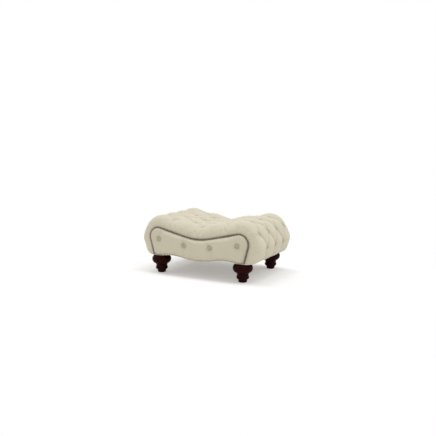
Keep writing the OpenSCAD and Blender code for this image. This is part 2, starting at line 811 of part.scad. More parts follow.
module facing_toggles() {
    color("sienna") for (sy = [-1, 1]) scale_side(1, sy) for (p = facing_button_spots)
        translate([p[0] - toggle_len / 2, board_y - soft_gap - toggle_r, p[1]])
            rotate([0, 90, 0]) cylinder(h = toggle_len, r = toggle_r, $fn = 24);
}

// A domed nail head, part of a sphere
module nail() {
    dome_r = (nail_r * nail_r + nail_h * nail_h) / 2 / nail_h;
    rotate_extrude($fn = 24) intersection() {
        square([nail_r, nail_h]);
        translate([0, nail_h - dome_r]) circle(dome_r, $fn = 96);
    }
}

module nail_trim() {
    last = half_len(0) + side_len(0, hem_z + nail_r + hem_room);
    count = floor(last / nail_pitch);
    step = last / count;
    for (k = [-count:count]) let (q = off(spot(k * step, 0), 0))
        translate([q[0], cloth_y + soft_gap, q[1]]) rotate([-90, 0, 0]) nail();
}

module front_facing_board() { color("burlywood") at_front() facing_board(); }
module back_facing_board() { color("burlywood") facing_board(); }
module front_facing_pad() { color("#cfc9b3") at_front() facing_pad(); }
module back_facing_pad() { color("#cfc9b3") facing_pad(); }
module front_facing_buttons() { color("#bfb9a3") at_front() facing_buttons(); }
module back_facing_buttons() { color("#bfb9a3") facing_buttons(); }
module front_nail_trim() { color("#5d524a") at_front() nail_trim(); }
module back_nail_trim() { color("#5d524a") nail_trim(); }

// Underside

// Gap between the lining and a corner block
dust_hole_gap = 0.5;

module dust_cover() {
    edge_y = board_y - soft_gap;
    hole = block_w + 2 * dust_hole_gap;
    color("#222222") translate([0, 0, dust_z]) linear_extrude(dust_t) difference() {
        translate([-rail_out, -edge_y]) square([2 * rail_out, 2 * edge_y]);
        for (sx = [-1, 1]) for (sy = [-1, 1]) mirror([sx < 0 ? 1 : 0, 0])
            mirror([0, sy < 0 ? 1 : 0]) translate([rail_in - hole, board_y - hole])
                square([hole + dust_hole_gap, hole]);
    }
}

staple_len = 10;
staple_w = 1.2;
staple_t = 0.6;
staple_pitch = 42;

module staple_row(x, reach) {
    count = floor(reach / staple_pitch);
    for (k = [-count:count]) translate([x - staple_w / 2, k * staple_pitch - staple_len / 2,
                                        dust_z - dust_gap - staple_t])
        cube([staple_w, staple_len, staple_t]);
}

module dust_cover_staples() {
    color("silver") for (sx = [-1, 1]) scale_side(sx, 1) {
        staple_row(rail_in + rail_t / 2, board_y - block_w - staple_len);
        staple_row(stretcher_x, board_y - 2 * staple_len);
    }
}

front_profile_board();
back_profile_board();
left_end_rail();
right_end_rail();
left_stretcher();
right_stretcher();
corner_block_front_left();
corner_block_front_right();
corner_block_back_left();
corner_block_back_right();
saddle_slats();
left_end_slats();
right_end_slats();
frame_dowels();
block_screws();
tee_nuts();
hanger_bolts();
foot_front_left();
foot_front_right();
foot_back_left();
foot_back_right();
foot_glides();
seat_foam();
tufted_cover();
seat_buttons();
seat_twines();
seat_toggles();
front_facing_board();
back_facing_board();
front_facing_pad();
back_facing_pad();
front_facing_buttons();
back_facing_buttons();
facing_twines();
facing_toggles();
front_nail_trim();
back_nail_trim();
dust_cover();
dust_cover_staples();
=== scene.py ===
"""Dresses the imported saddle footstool: buttoned cover, padded facings, nail heads and feet.

Lengths are in metres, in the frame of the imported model: X along the stool, Y from the front
facing to the back one, Z up from the floor. Angles are in radians. The outlines are one
saddle curve set off outwards by a distance n, where n = 0 is the line of nails.
"""

import json
from math import acos, atan2, cos, hypot, pi, radians, sin, sqrt, tan

import bpy
import numpy as np
from bpy.props import FloatProperty, FloatVectorProperty, IntProperty, PointerProperty
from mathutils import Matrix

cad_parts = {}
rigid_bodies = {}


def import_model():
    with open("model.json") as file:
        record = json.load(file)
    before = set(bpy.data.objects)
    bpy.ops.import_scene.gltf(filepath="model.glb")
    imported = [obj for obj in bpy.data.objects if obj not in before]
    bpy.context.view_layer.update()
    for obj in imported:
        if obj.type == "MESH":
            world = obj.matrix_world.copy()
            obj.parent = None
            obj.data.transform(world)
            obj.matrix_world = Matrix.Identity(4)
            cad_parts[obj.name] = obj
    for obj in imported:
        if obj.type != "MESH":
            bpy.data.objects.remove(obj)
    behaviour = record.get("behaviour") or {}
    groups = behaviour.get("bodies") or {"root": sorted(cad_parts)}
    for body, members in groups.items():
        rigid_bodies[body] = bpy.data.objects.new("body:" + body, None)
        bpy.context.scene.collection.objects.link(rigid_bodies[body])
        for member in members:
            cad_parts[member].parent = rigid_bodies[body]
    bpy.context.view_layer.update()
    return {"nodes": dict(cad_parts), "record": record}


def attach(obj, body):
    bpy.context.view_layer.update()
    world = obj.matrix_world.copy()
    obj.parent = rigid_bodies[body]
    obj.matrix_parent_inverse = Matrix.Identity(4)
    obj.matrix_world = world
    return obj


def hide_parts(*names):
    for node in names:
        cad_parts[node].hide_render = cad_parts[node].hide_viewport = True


bl_info = {
    "name": "Saddle Footstool",
    "version": (1, 0, 0),
    "blender": (4, 5, 0),
    "location": "3D View > Sidebar > Footstool",
    "description": "Dresses the packed saddle footstool with cloth, nails and turned feet",
    "category": "Object",
}

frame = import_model()
SLOTS = {part["node"]: part["material_slot"] for part in frame["record"]["subparts"]}
BODY = "root"
FACES = (("front", -1), ("back", 1))
CORNERS = [(f"{face}_{end}", x, y) for face, y in FACES for end, x in (("left", -1), ("right", 1))]


# Settings


def setting(kind, **fixed):
    """A maker of settings of one kind, each with its own name, description and default."""

    def made(name, text, value):
        return kind(name=name, description=text, default=value, **fixed)

    return made


length = setting(FloatProperty, unit="LENGTH", precision=4)
angle = setting(FloatProperty, unit="ROTATION")
share = setting(FloatProperty, precision=3)
count = setting(IntProperty)
colour = setting(FloatVectorProperty, subtype="COLOR", min=0, max=1, size=3)


class SaddleSettings(bpy.types.PropertyGroup):
    """The saddle curve, on the nail line."""

    dip_z: length("Dip height", "Bottom of the dip", 0.293)
    dip_r: length("Dip radius", "Radius of the dip", 0.480)
    roll_x: length("Roll distance", "Centre of a roll from the middle", 0.345)
    roll_z: length("Roll height", "Centre of a roll", 0.284)
    roll_r: length("Roll radius", "Radius of a roll", 0.074)
    lean: angle("Side lean", "Lean of the sides below the rolls", radians(15))
    hem_z: length("Hem height", "Bottom edge of the cover", 0.1403)


class CoverSettings(bpy.types.PropertyGroup):
    """The tufted cover."""

    puff_n: length("Puff offset", "Top of the puffs", 0.086)
    button_n: length("Button offset", "Cloth under a button", 0.066)
    dip_wad: length("Dip wadding", "Extra wadding in the dip", 0.010)
    dip_wad_len: length("Dip wadding length", "Its reach on each side", 0.260)
    side_wad: length("Side wadding", "Extra wadding below the rolls", 0.009)
    tuft_n: length("Row offset", "Where the rows are measured", 0.060)
    last_row: length("Last row", "Distance from the middle", 0.588423)
    last_pitch: length("Last row pitch", "Distance from the row above", 0.100)
    column_pitch: length("Column pitch", "Distance between columns", 0.0745)
    rows: count("Rows", "Rows on each side of the middle", 5)
    columns: count("Columns", "Columns on each side of the middle", 3)
    fold_lift: share("Fold lift", "Rise of a fold, as a share of its depth", 0.45)
    end_lift: share("End fold lift", "The same below the rolls", 0.2)
    fold_power: share("Fold roundness", "Power of a puff's rise", 0.75)
    fold_tuck: length("Fold tuck", "Lean of a puff over the fold below it", 0.0035)
    end_tuck: length("End fold tuck", "The same below the rolls", 0.007)
    fullness: length("Fullness", "Difference between the puffs", 0.0024)
    gather: length("Gathers", "Height of the gathers round a button", 0.0016)
    border_depth: length("Border depth", "Depth of the round edges", 0.060)
    hem_round: length("Hem rounding", "Rounding of the bottom corners", 0.062)
    steps: count("Steps", "Steps of the mesh from row to row", 26)
    seed: count("Seed", "Seed of the cloth's small differences", 7)


class FacingSettings(bpy.types.PropertyGroup):
    """The padded facings and their nails, with distances from the middle."""

    cloth_y: length("Facing", "Distance of the facing cloth", 0.3063)
    back_y: length("Pad back", "Distance of the pad's back", 0.3051)
    flange_y: length("Flange", "Distance of the cover's flange", 0.3015)
    edge_n: length("Pad edge", "Offset of the pad's edge", 0.0042)
    rim_n: length("Rim", "Offset at which the padding starts", -0.006)
    crown: length("Crown", "Thickness of the padding", 0.017)
    dimple: length("Dimple", "Depth of a button in the padding", 0.009)
    outer_x: length("Outer buttons", "Distance of the outer buttons", 0.333)
    outer_z: length("Outer height", "Height of the outer buttons", 0.273)
    inner_x: length("Inner buttons", "Distance of the inner buttons", 0.110)
    inner_z: length("Inner height", "Height of the inner buttons", 0.240)
    skirt_drop: length("Skirt drop", "Drop of the bottom edge", 0.014)
    skirt_arch: length("Skirt arch", "Arch beside the drop", 0.010)
    arch_x: length("Arch distance", "Distance of an arch", 0.240)
    foot_x: length("Foot distance", "Distance of a foot", 0.350879)
    nail_r: length("Nail radius", "Radius of a nail head", 0.0054)
    nail_h: length("Nail height", "Height of a nail head", 0.003)
    nail_pitch: length("Nail pitch", "Distance from nail to nail", 0.0115)
    button_r: length("Button radius", "Radius of a button", 0.012)
    button_h: length("Button height", "Height of a button", 0.006)


class SettlingSettings(bpy.types.PropertyGroup):
    """How the cloth settles over its padding."""

    frames: count("Frames", "Steps of the settling", 16)
    pressure: share("Pressure", "Pressure of the padding", 10.0)
    slack: share("Slack", "How much larger the cloth is cut", 0.025)
    stiffness: share("Stiffness", "How little the cloth stretches", 15.0)
    bending: share("Bending", "How little the cloth bends", 0.3)
    cap: length("Cap", "How far the cloth may move", 0.008)
    room: length("Room", "How much lower the padding starts", 0.002)
    fold_pin: share("Fold hold", "Held part of a puff at a fold", 0.08)


class FootSettings(bpy.types.PropertyGroup):
    """The turned feet."""

    height: length("Height", "Height of a foot", 0.140)
    y: length("Distance", "Distance to the front or back", 0.2555)
    glide: length("Glide", "Height of the glide under a foot", 0.003)
    bulb_r: length("Bulb radius", "Largest radius of the bulb", 0.074)
    bulb_round: length("Bulb rounding", "Radius of its rounding", 0.036)
    bulb_drop: length("Bulb drop", "Its widest place below the top", 0.0345)
    collar_r: length("Collar radius", "Radius on top of the bulb", 0.061)
    neck_r: length("Neck radius", "Radius under the bulb", 0.042)
    hollow: length("Hollow", "Radius of the hollow above the neck", 0.022)
    bead_r: length("Bead radius", "Radius of the bead", 0.047)
    bead_round: length("Bead rounding", "Radius of its rounding", 0.017)
    bead_z: length("Bead height", "Middle of the bead", 0.038)
    toe_r: length("Toe radius", "Radius at the floor", 0.032)


class FinishSettings(bpy.types.PropertyGroup):
    """Colours of the finishes."""

    cloth: colour("Cloth", "Cream cloth", (0.715, 0.665, 0.525))
    # Painted shade: the colour the cloth turns where shade falls in folds, round buttons and along
    # the nails
    fold_shade: colour("Fold shade", "Cloth in the folds", (0.40, 0.35, 0.27))
    foot: colour("Feet", "Dark stained mahogany", (0.014, 0.0012, 0.0010))
    foot_grain: colour("Foot grain", "Lighter grain", (0.027, 0.0042, 0.0032))
    bronze: colour("Nails", "Antiqued bronze", (0.20, 0.155, 0.12))
    patina: colour("Patina", "Dark patina of the nails", (0.045, 0.034, 0.028))
    birch: colour("Boards", "Bare birch plywood", (0.56, 0.41, 0.25))
    pine: colour("Slats", "Bare pine", (0.62, 0.44, 0.25))
    steel: colour("Steel", "Bright zinc plating", (0.62, 0.62, 0.63))
    nylon: colour("Glides", "Dark nylon", (0.022, 0.020, 0.019))
    foam: colour("Foam", "Upholstery foam", (0.76, 0.67, 0.36))
    twine: colour("Twine", "Waxed twine", (0.62, 0.53, 0.36))
    lining: colour("Lining", "Black non-woven lining", (0.006, 0.006, 0.006))


class FootstoolSettings(bpy.types.PropertyGroup):
    """All settings of the footstool."""

    saddle: PointerProperty(type=SaddleSettings)
    cover: PointerProperty(type=CoverSettings)
    facing: PointerProperty(type=FacingSettings)
    settling: PointerProperty(type=SettlingSettings)
    foot: PointerProperty(type=FootSettings)
    finish: PointerProperty(type=FinishSettings)


def settings():
    """The scene's settings."""
    return bpy.context.scene.footstool


# Meshes


def stack(*parts):
    """The parts side by side, along a new last axis."""
    return np.stack(np.broadcast_arrays(*parts), -1)


def spatial(q, y):
    """Points with the x and z of q, given as [x, z], at distance y."""
    return stack(q[..., 0], y, q[..., 1])


def linked(name, data):
    """A new object in the scene."""
    obj = bpy.data.objects.new(name, data)
    bpy.context.scene.collection.objects.link(obj)
    return obj


def surface(name, points, faces, uv=None, **values):
    """A new object of points and loops of point numbers, with the place in the weave and
    other values of each point."""
    mesh = bpy.data.meshes.new(name)
    mesh.from_pydata(points.tolist(), [], faces)
    if uv is not None:
        loops = np.empty(len(mesh.loops), np.int32)
        mesh.loops.foreach_get("vertex_index", loops)
        layer = mesh.uv_layers.new(name="weave")
        layer.data.foreach_set("uv", uv[loops].astype(np.float32).ravel())
    for key, value in values.items():
        attribute = mesh.attributes.new(key, "FLOAT", "POINT")
        attribute.data.foreach_set("value", value.astype(np.float32))
    mesh.polygons.foreach_set("use_smooth", np.ones(len(mesh.polygons), bool))
    mesh.update()
    if mesh.validate():
        raise RuntimeError(f"{name} has faces that a mesh can't hold")
    return linked(name, mesh)


def dressed(name, shape, node, fill=None, **values):
    """A new piece that rides on the stool, stands for its node and has its slot's finish."""
    piece = surface(name, *shape, **values)
    piece.data.materials.append(bpy.data.materials[finish_name(node)])
    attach(piece, BODY)
    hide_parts(node)


def grid_quads(wide, high, closed=False):
    """Quads of a grid of wide columns and high rows, numbered row by row. A closed grid
    joins its last column to its first."""
    a = np.arange(high - 1)[:, None] * wide
    b = np.arange(wide if closed else wide - 1)
    c = (b + 1) % wide
    return stack(a + b, a + c, a + wide + c, a + wide + b).reshape(-1, 4)


def lathe(profile, segments, centre=(0, 0, 0)):
    """A turned piece: the profile's radius and height, [r, z], carried round an upright
    axis, x = r cos t and y = r sin t, with a point at each end of the axis."""
    k = np.arange(segments)
    t, r, z = k * 2 * pi / segments, profile[1:-1, :1], profile[1:-1, 1:]
    rings = stack(r * np.cos(t), r * np.sin(t), z).reshape(-1, 3)
    points = np.concatenate([rings, [[0, 0, profile[0, 1]], [0, 0, profile[-1, 1]]]])
    m, low, last = (k + 1) % segments, len(rings), len(rings) - segments
    faces = (grid_quads(segments, len(r), closed=True).tolist()
             + stack(m, k, low).tolist() + stack(last + k, last + m, low + 1).tolist())
    return points + centre, faces


def scattered(profile, segments, places, ups, along):
    """The same small turned piece at many places, with its axis up and its x along."""
    points, faces = lathe(profile, segments)
    size, turns = len(points), np.stack([along, np.cross(ups, along), ups], 1)
    loops = [[k + size * m for k in face] for m in range(len(places)) for face in faces]
    return (places[:, None] + points @ turns).reshape(-1, 3), loops


def arc(centre, radius, start, end, steps):
    """Points of an arc from one angle to another, as [r, z]."""
    t = np.linspace(start, end, steps)
    return centre + radius * stack(np.cos(t), np.sin(t))


def bell(x, width):
    """e to the power of -(x / width)^2."""
    return np.exp(-((x / width) ** 2))


def fall(x, width):
    """1 up to x = 0, and e to the power of -x / width beyond."""
    return np.exp(-np.maximum(x, 0) / width)


def swells(table, u, v):
    """Low waves over a cloth: sines along u times cosines along v, one for each row of the
    table, which gives their two lengths, their phase and their height."""
    return sum(height * np.sin(across * u + 3 * phase) * np.cos(up * v + phase)
               for across, up, phase, height in table)


# Settling of the cloth


def between_points(move):
    """The grid with a point added halfway between every two along its first axis: nine
    sixteenths of each neighbour, less a sixteenth of each next one."""
    padded = np.concatenate([2 * move[:1] - move[1:2], move, 2 * move[-1:] - move[-2:-1]])
    out = np.empty((2 * len(move) - 1, *move.shape[1:]))
    out[::2] = move
    out[1::2] = (9 * (move[:-1] + move[1:]) - padded[:-3] - padded[3:]) / 16
    return out


def settled(grid, held, flip, sizes):
    """The points of a sheet of cloth that has swelled under the pressure of its padding.
    Every second point of the grid takes part, the held ones stay, and a long way is
    shortened: a way d becomes d / root(1 + (d / cap)^2)."""
    scene, coarse = bpy.context.scene, grid[::2, ::2]
    loops = grid_quads(coarse.shape[1], coarse.shape[0])
    sheet = surface("sheet", coarse.reshape(-1, 3), (loops[:, ::-1] if flip else loops).tolist())
    pins = sheet.vertex_groups.new(name="held")
    pins.add(np.flatnonzero(held[::2, ::2]).tolist(), 1.0, "REPLACE")
    swelling = sheet.modifiers.new("cloth", "CLOTH")
    how, cache = swelling.settings, swelling.point_cache
    how.quality, how.mass, how.air_damping = 5, 0.3, 2.0
    how.tension_stiffness = how.compression_stiffness = how.shear_stiffness = sizes.stiffness
    how.bending_stiffness = sizes.bending
    how.use_pressure, how.uniform_pressure_force = True, sizes.pressure
    how.vertex_group_mass, how.shrink_min = "held", -sizes.slack
    how.effector_weights.gravity = 0
    swelling.collision_settings.use_collision = False
    cache.frame_start, cache.frame_end = 1, sizes.frames
    for step in range(1, sizes.frames + 1):
        scene.frame_set(step)
    there = np.empty(coarse.size)
    done = sheet.evaluated_get(bpy.context.evaluated_depsgraph_get())
    done.data.vertices.foreach_get("co", there)
    bpy.data.meshes.remove(sheet.data)
    scene.frame_set(1)
    move = there.reshape(coarse.shape) - coarse
    move /= np.sqrt(1 + (move**2).sum(-1, keepdims=True) / sizes.cap**2)
    return grid + np.swapaxes(between_points(np.swapaxes(between_points(move), 0, 1)), 0, 1)


# The saddle curve

# Share of the hem's steps that go straight down
HEM_STRAIGHT = 0.6


class Saddle:
    """The curve: a dip arc about a centre above, a straight flank that touches it, a roll
    arc and a side that leans in. An outline at offset n has the same centres and straight
    directions, and arcs whose radii are n shorter in the dip and n longer on the roll."""

    def __init__(self, sizes):
        self.dip_r, self.roll_r, self.lean = sizes.dip_r, sizes.roll_r, sizes.lean
        self.roll_x, self.roll_z, self.hem_z = sizes.roll_x, sizes.roll_z, sizes.hem_z
        self.dip_top = sizes.dip_z + sizes.dip_r
        across, up = self.roll_x, self.dip_top - self.roll_z
        apart, reach = hypot(across, up), self.dip_r + self.roll_r
        self.flank = atan2(across, up) - acos(reach / apart)
        self.flank_len = sqrt(apart * apart - reach * reach)
        self.roll_turn = pi / 2 + self.flank + self.lean

    def roll_start(self, n):
        """Length of half the outline at offset n up to the roll."""
        return (self.dip_r - n) * self.flank + self.flank_len

    def half_len(self, n):
        """Length of half the outline at offset n up to the side."""
        return self.roll_start(n) + (self.roll_r + n) * self.roll_turn

    def side_len(self, n, z):
        """Length of the side at offset n, from the end of the roll down to height z."""
        return (self.roll_z - (self.roll_r + n) * sin(self.lean) - z) / cos(self.lean)

    def side_x(self, n, z):
        """Distance of the side at offset n and height z."""
        return (self.roll_x + (self.roll_r + n) * cos(self.lean)
                - self.side_len(n, z) * sin(self.lean))

    def spot(self, s, n):
        """Place on the nail line and outward direction, as [x, z], at length s along the
        outline at offset n, on the left where s is negative. For a slope g, outwards is
        (-sin g, cos g). A place is an arc's centre, and its radius outwards from there, and
        what is left of s along (cos g, sin g) where the line is straight."""
        a, roll, side = np.abs(s), self.roll_start(n), self.half_len(n)
        dip, on_dip = roll - self.flank_len, (a < roll)[..., None]
        g = np.select([a < dip, a < roll, a < side], [
            a / (self.dip_r - n), self.flank, self.flank - (a - roll) / (self.roll_r + n)],
            self.flank - self.roll_turn)
        out, along = stack(-np.sin(g), np.cos(g)), stack(np.cos(g), np.sin(g))
        straight = np.maximum(a - np.where(a < roll, dip, side), 0)[..., None]
        centre = np.where(on_dip, [0, self.dip_top], [self.roll_x, self.roll_z])
        place = centre + np.where(on_dip, -self.dip_r, self.roll_r) * out + straight * along
        mirror = np.where((s < 0)[..., None], [-1.0, 1.0], 1.0)
        return mirror * place, mirror * out

    def at(self, s, ref, n):
        """The point at offset n over length s of the outline at offset ref, as [x, z]."""
        place, out = self.spot(s, ref)
        return place + np.asarray(n)[..., None] * out

    def hem(self, w, n, start, ref, rounding):
        """Points of the hem at offset n, as [x, z]: first from length start of the outline
        at offset ref down the side, and on to w = 1 round an arc that ends level."""
        half = (pi / 2 - self.lean) / 2
        cut = rounding * tan(half)
        end = self.half_len(ref) + self.side_len(n, self.hem_z) - cut
        down = self.at(start + (end - start) * np.minimum(w / HEM_STRAIGHT, 1), ref, n)
        a = self.lean + 2 * half * (w - HEM_STRAIGHT) / (1 - HEM_STRAIGHT)
        turn = stack(self.side_x(n, self.hem_z) - cut + rounding * np.cos(a),
                     self.hem_z + rounding - rounding * np.sin(a))
        return np.where((w <= HEM_STRAIGHT)[..., None], down, turn)


# The tufted cover

# Reach of the random tables of puffs and buttons from the middle
TABLE = 16
# Steps of the mesh over the border's flat, round it, and down and round the hem
FLAT_STEPS, TURN_STEPS, HEM_STEPS = 7, 34, 34
# Length of the cloth round the border and down to the end of the hem
BORDER_RUN, HEM_RUN = 0.114, 0.12
# Rows before the last one where the tufts of an end start, and rows they take to change
END_START, END_ROWS = 2, 1.5
# How the tufts fade over the border, and how much of them the hem takes away
FADE_POWER, HEM_FADE = 1.3, 0.5
# Gathers round a button: their radius as a share of the button's, and their width
GATHER_R, GATHER_WIDTH = 1.75, 0.012
# Height and waviness of the low waves
COVER_SWELL, COVER_WAVES = 0.0007, 2
# Painted shade in a fold on the seat, what the ends add, and its width as a share of a puff
FOLD_SHADE, END_SHADE, FOLD_WIDTH = 0.34, 0.26, 0.1
# Width of the painted shade round the buttons and along the nails
EDGE_SHADE = 0.006
# How far the cloth is held round a button, as a share of the button's radius
BUTTON_HOLD = 1.15
# Gap between the cover and the facing pad's edge, and depth of a button in the cloth
EDGE_GAP, BUTTON_SINK = 0.0003, 0.0007
# Rounding of the hem at offset 0, and of the lining
HEM_INNER, LINING_ROUND = 0.006, 0.002
# The foam, slats, frame and flange that the lining goes round: offsets and distances, the
# height at which the foam ends, and the gap that is left over the slats below it
FOAM_N, SLAT_N, FLANGE_N = 0.0559, 0.0239, -0.012
FOAM_Y, FRAME_Y, FOAM_Z, SLAT_GAP = 0.2824, 0.2984, 0.160, 0.0005


class Cover:
    """The tufted cover: an outer skin, and a lining round the frame and the foam. Rows u
    and columns v count buttons from the middle, and a button has u + v odd."""

    def __init__(self, have):
        self.s, self.facing, self.settling = have.cover, have.facing, have.settling
        self.saddle, s = Saddle(have.saddle), have.cover
        self.edge_n = have.facing.edge_n + EDGE_GAP
        self.row_pitch = (s.last_row - s.last_pitch) / (s.rows - 1)
        draw, shape = np.random.default_rng(s.seed), (2 * TABLE, 2 * TABLE)
        self.full = draw.uniform(-1, 1, shape)
        self.pleats = draw.integers(9, 14, shape)
        self.phase = draw.uniform(0, 2 * pi, shape)
        self.swell = draw.uniform(-1, 1, (6, 4)) * [1, 1, 1, COVER_SWELL]

    def row_s(self, u):
        """Distance along the saddle of row u: even steps, and another one to the last."""
        a = np.abs(u)
        last = self.s.last_row - (self.s.rows - a) * self.s.last_pitch
        return np.sign(u) * np.where(a <= self.s.rows - 1, a * self.row_pitch, last)

    def wadding(self, s, w=0.0):
        """Extra wadding at distance s along the saddle: a flat bell over the dip, and a
        step that rises up to the last row. Below it, it fades over the share w of the way."""
        t = np.maximum(0, (np.abs(s) - self.row_s(self.s.rows - 1)) / self.s.last_pitch)
        return (self.s.dip_wad * np.exp(-((s / self.s.dip_wad_len) ** 4))
                + self.s.side_wad * np.sin(pi / 2 * t) ** 4 * np.cos(pi / 2 * w))

    def at_end(self, u):
        """From 0 on the saddle to 1 on the last row, with a soft start and end."""
        t = np.clip((np.abs(u) - self.s.rows + END_START) / END_ROWS, 0, 1)
        return t * t * (3 - 2 * t)

    def around(self, u, v):
        """Distance and direction from the nearest button, and its random numbers."""
        p, q = (np.round((u + way * v - 1) / 2).astype(int) for way in (1, -1))
        row, column = p + q + 1, p - q
        real = (np.abs(row) <= self.s.rows) & (np.abs(column) <= self.s.columns)
        ds, dy = (u - row) * self.row_pitch, (v - column) * self.s.column_pitch
        key = (p + TABLE, q + TABLE)
        r = np.where(real, np.hypot(ds, dy), 1.0)
        return r, np.arctan2(dy, ds), self.pleats[key], self.phase[key]

    def height(self, u, v, u_run, v_run, fade):
        """Offset of the cloth from the puffs' tops, the painted shade of each point, how far up a
        puff, and how near a button and a fold. u_run and v_run go on past the last row and
        column. Two sines a and b are 0 on the folds. Their product to a power is a puff, and
        1 less the product of their squared cosines lifts the folds between buttons. A ring
        of waves round each button gathers the cloth. The painted shade darkens the cloth in
        the folds and round each button, where shade falls."""
        s, end = self.s, self.at_end(u)
        p, q = (u + v - 1) / 2, (u - v - 1) / 2
        a, b = np.abs(np.sin(pi * p)), np.abs(np.sin(pi * q))
        lift = s.fold_lift + (s.end_lift - s.fold_lift) * end
        rise = (1 - lift) * (a * b) ** s.fold_power + lift * (1 - (1 - a * a) * (1 - b * b))
        full = self.full[np.floor(p).astype(int) + TABLE, np.floor(q).astype(int) + TABLE]
        r, turn, pleats, phase = self.around(u_run, v_run)
        ring = bell(r - GATHER_R * self.facing.button_r, GATHER_WIDTH)
        out = ((a * b * full * s.fullness - (1 - rise) * (s.puff_n - s.button_n)) * fade
               + s.gather * ring * np.cos(pleats * turn + phase)
               + swells(self.swell, COVER_WAVES * u_run, COVER_WAVES * v_run))
        near = np.minimum(a, b)
        # Painted shade: darker in the folds, more so on the ends, and round each button
        crease = np.maximum((FOLD_SHADE + END_SHADE * end) * fall(near, FOLD_WIDTH) * fade,
                            fall(r - self.facing.button_r, EDGE_SHADE))
        return out, crease, rise, r, near

    def outline(self, at, w_hem, n, rounding, tuck=0.0):
        """Points at offset n, as [x, z]: at a distance along the saddle, moved by the tuck,
        or on the hem below the last row."""
        ref = self.s.tuft_n
        return np.where((w_hem > 0)[..., None],
                        self.saddle.hem(w_hem, n, self.s.last_row, ref, rounding),
                        self.saddle.at(at + tuck, ref, n))

    def skin(self):
        """The outer skin's points, places in the weave and creases, which points are held
        as it settles, and its stations. Along the stool the grid has even steps from row to
        row, then goes down the side and round the hem. Across it has even steps from column
        to column, then a quarter of an ellipse round the border down to the nail line."""
        s, facing = self.s, self.facing
        last_row, last_column = s.rows * s.steps, s.columns * s.steps
        end_i, end_j = last_row + HEM_STEPS, last_column + FLAT_STEPS + TURN_STEPS
        i, j = np.meshgrid(np.arange(-end_i, end_i + 1), np.arange(-end_j, end_j + 1),
                           indexing="ij")
        side_i, side_j, past_i, past_j = np.sign(i), np.sign(j), np.abs(i), np.abs(j)
        u, v = np.minimum(past_i / s.steps, s.rows), np.minimum(past_j / s.steps, s.columns)
        past_i, past_j = past_i - last_row, past_j - last_column
        w_hem = np.clip(past_i / HEM_STEPS, 0, 1)
        w_flat = np.clip(past_j / FLAT_STEPS, 0, 1)
        w_turn = np.clip((past_j - FLAT_STEPS) / TURN_STEPS, 0, 1)
        flat = facing.cloth_y - s.border_depth - s.columns * s.column_pitch
        turn = pi / 2 * (1 - w_turn)
        run, hem_run = flat * w_flat + BORDER_RUN * w_turn, HEM_RUN * w_hem
        fade = (1 - run / (flat + BORDER_RUN)) ** FADE_POWER * (1 - HEM_FADE * w_hem)
        low, crease, rise, near_button, near_fold = self.height(
            u * side_i, v * side_j, side_i * (u + hem_run / self.row_pitch),
            side_j * (v + run / s.column_pitch), fade)
        at = self.row_s(u)
        top = s.puff_n - self.settling.room * np.clip(rise, 0, 1) + self.wadding(at, w_hem)
        n = self.edge_n + (top + low - self.edge_n) * np.sin(turn)
        # Painted shade along the nail line, where the cloth turns in
        crease = np.maximum(crease, fall(n - self.edge_n, EDGE_SHADE) * (w_turn > 0))
        lean = s.fold_tuck + (s.end_tuck - s.fold_tuck) * self.at_end(u)
        tuck = lean * rise * fade * np.tanh(u) * np.clip(2 * (s.rows - u), 0, 1)
        q = self.outline(at, w_hem, n, HEM_INNER + (s.hem_round - HEM_INNER) * n / s.puff_n, tuck)
        q[..., 0] *= side_i
        y = v * s.column_pitch + flat * w_flat + s.border_depth * np.cos(turn)
        weave = stack(side_i * (at + hem_run), side_j * (v * s.column_pitch + run))
        held = ((near_button < BUTTON_HOLD * facing.button_r) | (w_turn == 1) | (w_hem == 1)
                | ((near_fold < self.settling.fold_pin) & (past_j <= 0) & (past_i < 0)))
        return spatial(q, side_j * y), weave, crease, held, (at[:, 0], side_i[:, 0], w_hem[:, 0])

    def skin_faces(self, high, wide):
        """Two triangles for each grid cell, split along the fold that runs through it."""
        i, j = np.arange(high - 1)[:, None], np.arange(wide - 1)
        a = i * wide + j
        b, c, d = a + 1, a + wide + 1, a + wide
        row, column = (i - (high - 1) / 2) // self.s.steps, (j - (wide - 1) / 2) // self.s.steps
        rising = (row + column) % 2 == 1
        both = stack(a, d, np.where(rising, c, b)), stack(np.where(rising, a, d), c, b)
        return np.concatenate(both).reshape(-1, 3).tolist()

    def lining(self, at, side, w_hem):
        """The inside: a profile of corners carried along the skin's stations. Each corner is
        an offset, or None for the top of the foam, and a distance y."""
        over_foam = self.outline(at, w_hem, FOAM_N, LINING_ROUND)
        past_foam = (w_hem > 0) & (over_foam[:, 1] < FOAM_Z)
        top = np.where(past_foam, SLAT_N + SLAT_GAP, FOAM_N)
        flange_y = self.facing.flange_y
        half = [(self.edge_n, flange_y), (FLANGE_N, flange_y), (FLANGE_N, FRAME_Y),
                (SLAT_N, FRAME_Y), (SLAT_N, FOAM_Y), (None, FOAM_Y)]
        points, weave = [], []
        for n, y in [(n, -y) for n, y in half] + [(None, 0)] + half[::-1]:
            level = top if n is None else np.where(w_hem > 0, np.minimum(n, top), n)
            q = self.outline(at, w_hem, level, LINING_ROUND)
            points.append(spatial(q * stack(side, 1), y))
            weave.append(stack(side * at, y + level))
        return np.stack(points, 1), np.stack(weave, 1)

    def shell(self):
        """Points, faces and weave of the closed cover, and the painted shade of each point."""
        outer, weave, crease, held, stations = self.skin()
        outer = settled(outer, held, True, self.settling)
        inner, inner_weave = self.lining(*stations)
        high, wide = outer.shape[:2]
        # The lining's columns, between the skin's own front and back edges
        number = outer.size // 3 + np.arange(inner.size // 3).reshape(high, -1)
        edge = np.arange(high)[:, None] * wide
        strip = np.concatenate([edge, number, edge + wide - 1], 1)
        lining = stack(strip[:-1, :-1], strip[:-1, 1:], strip[1:, 1:], strip[1:, :-1])
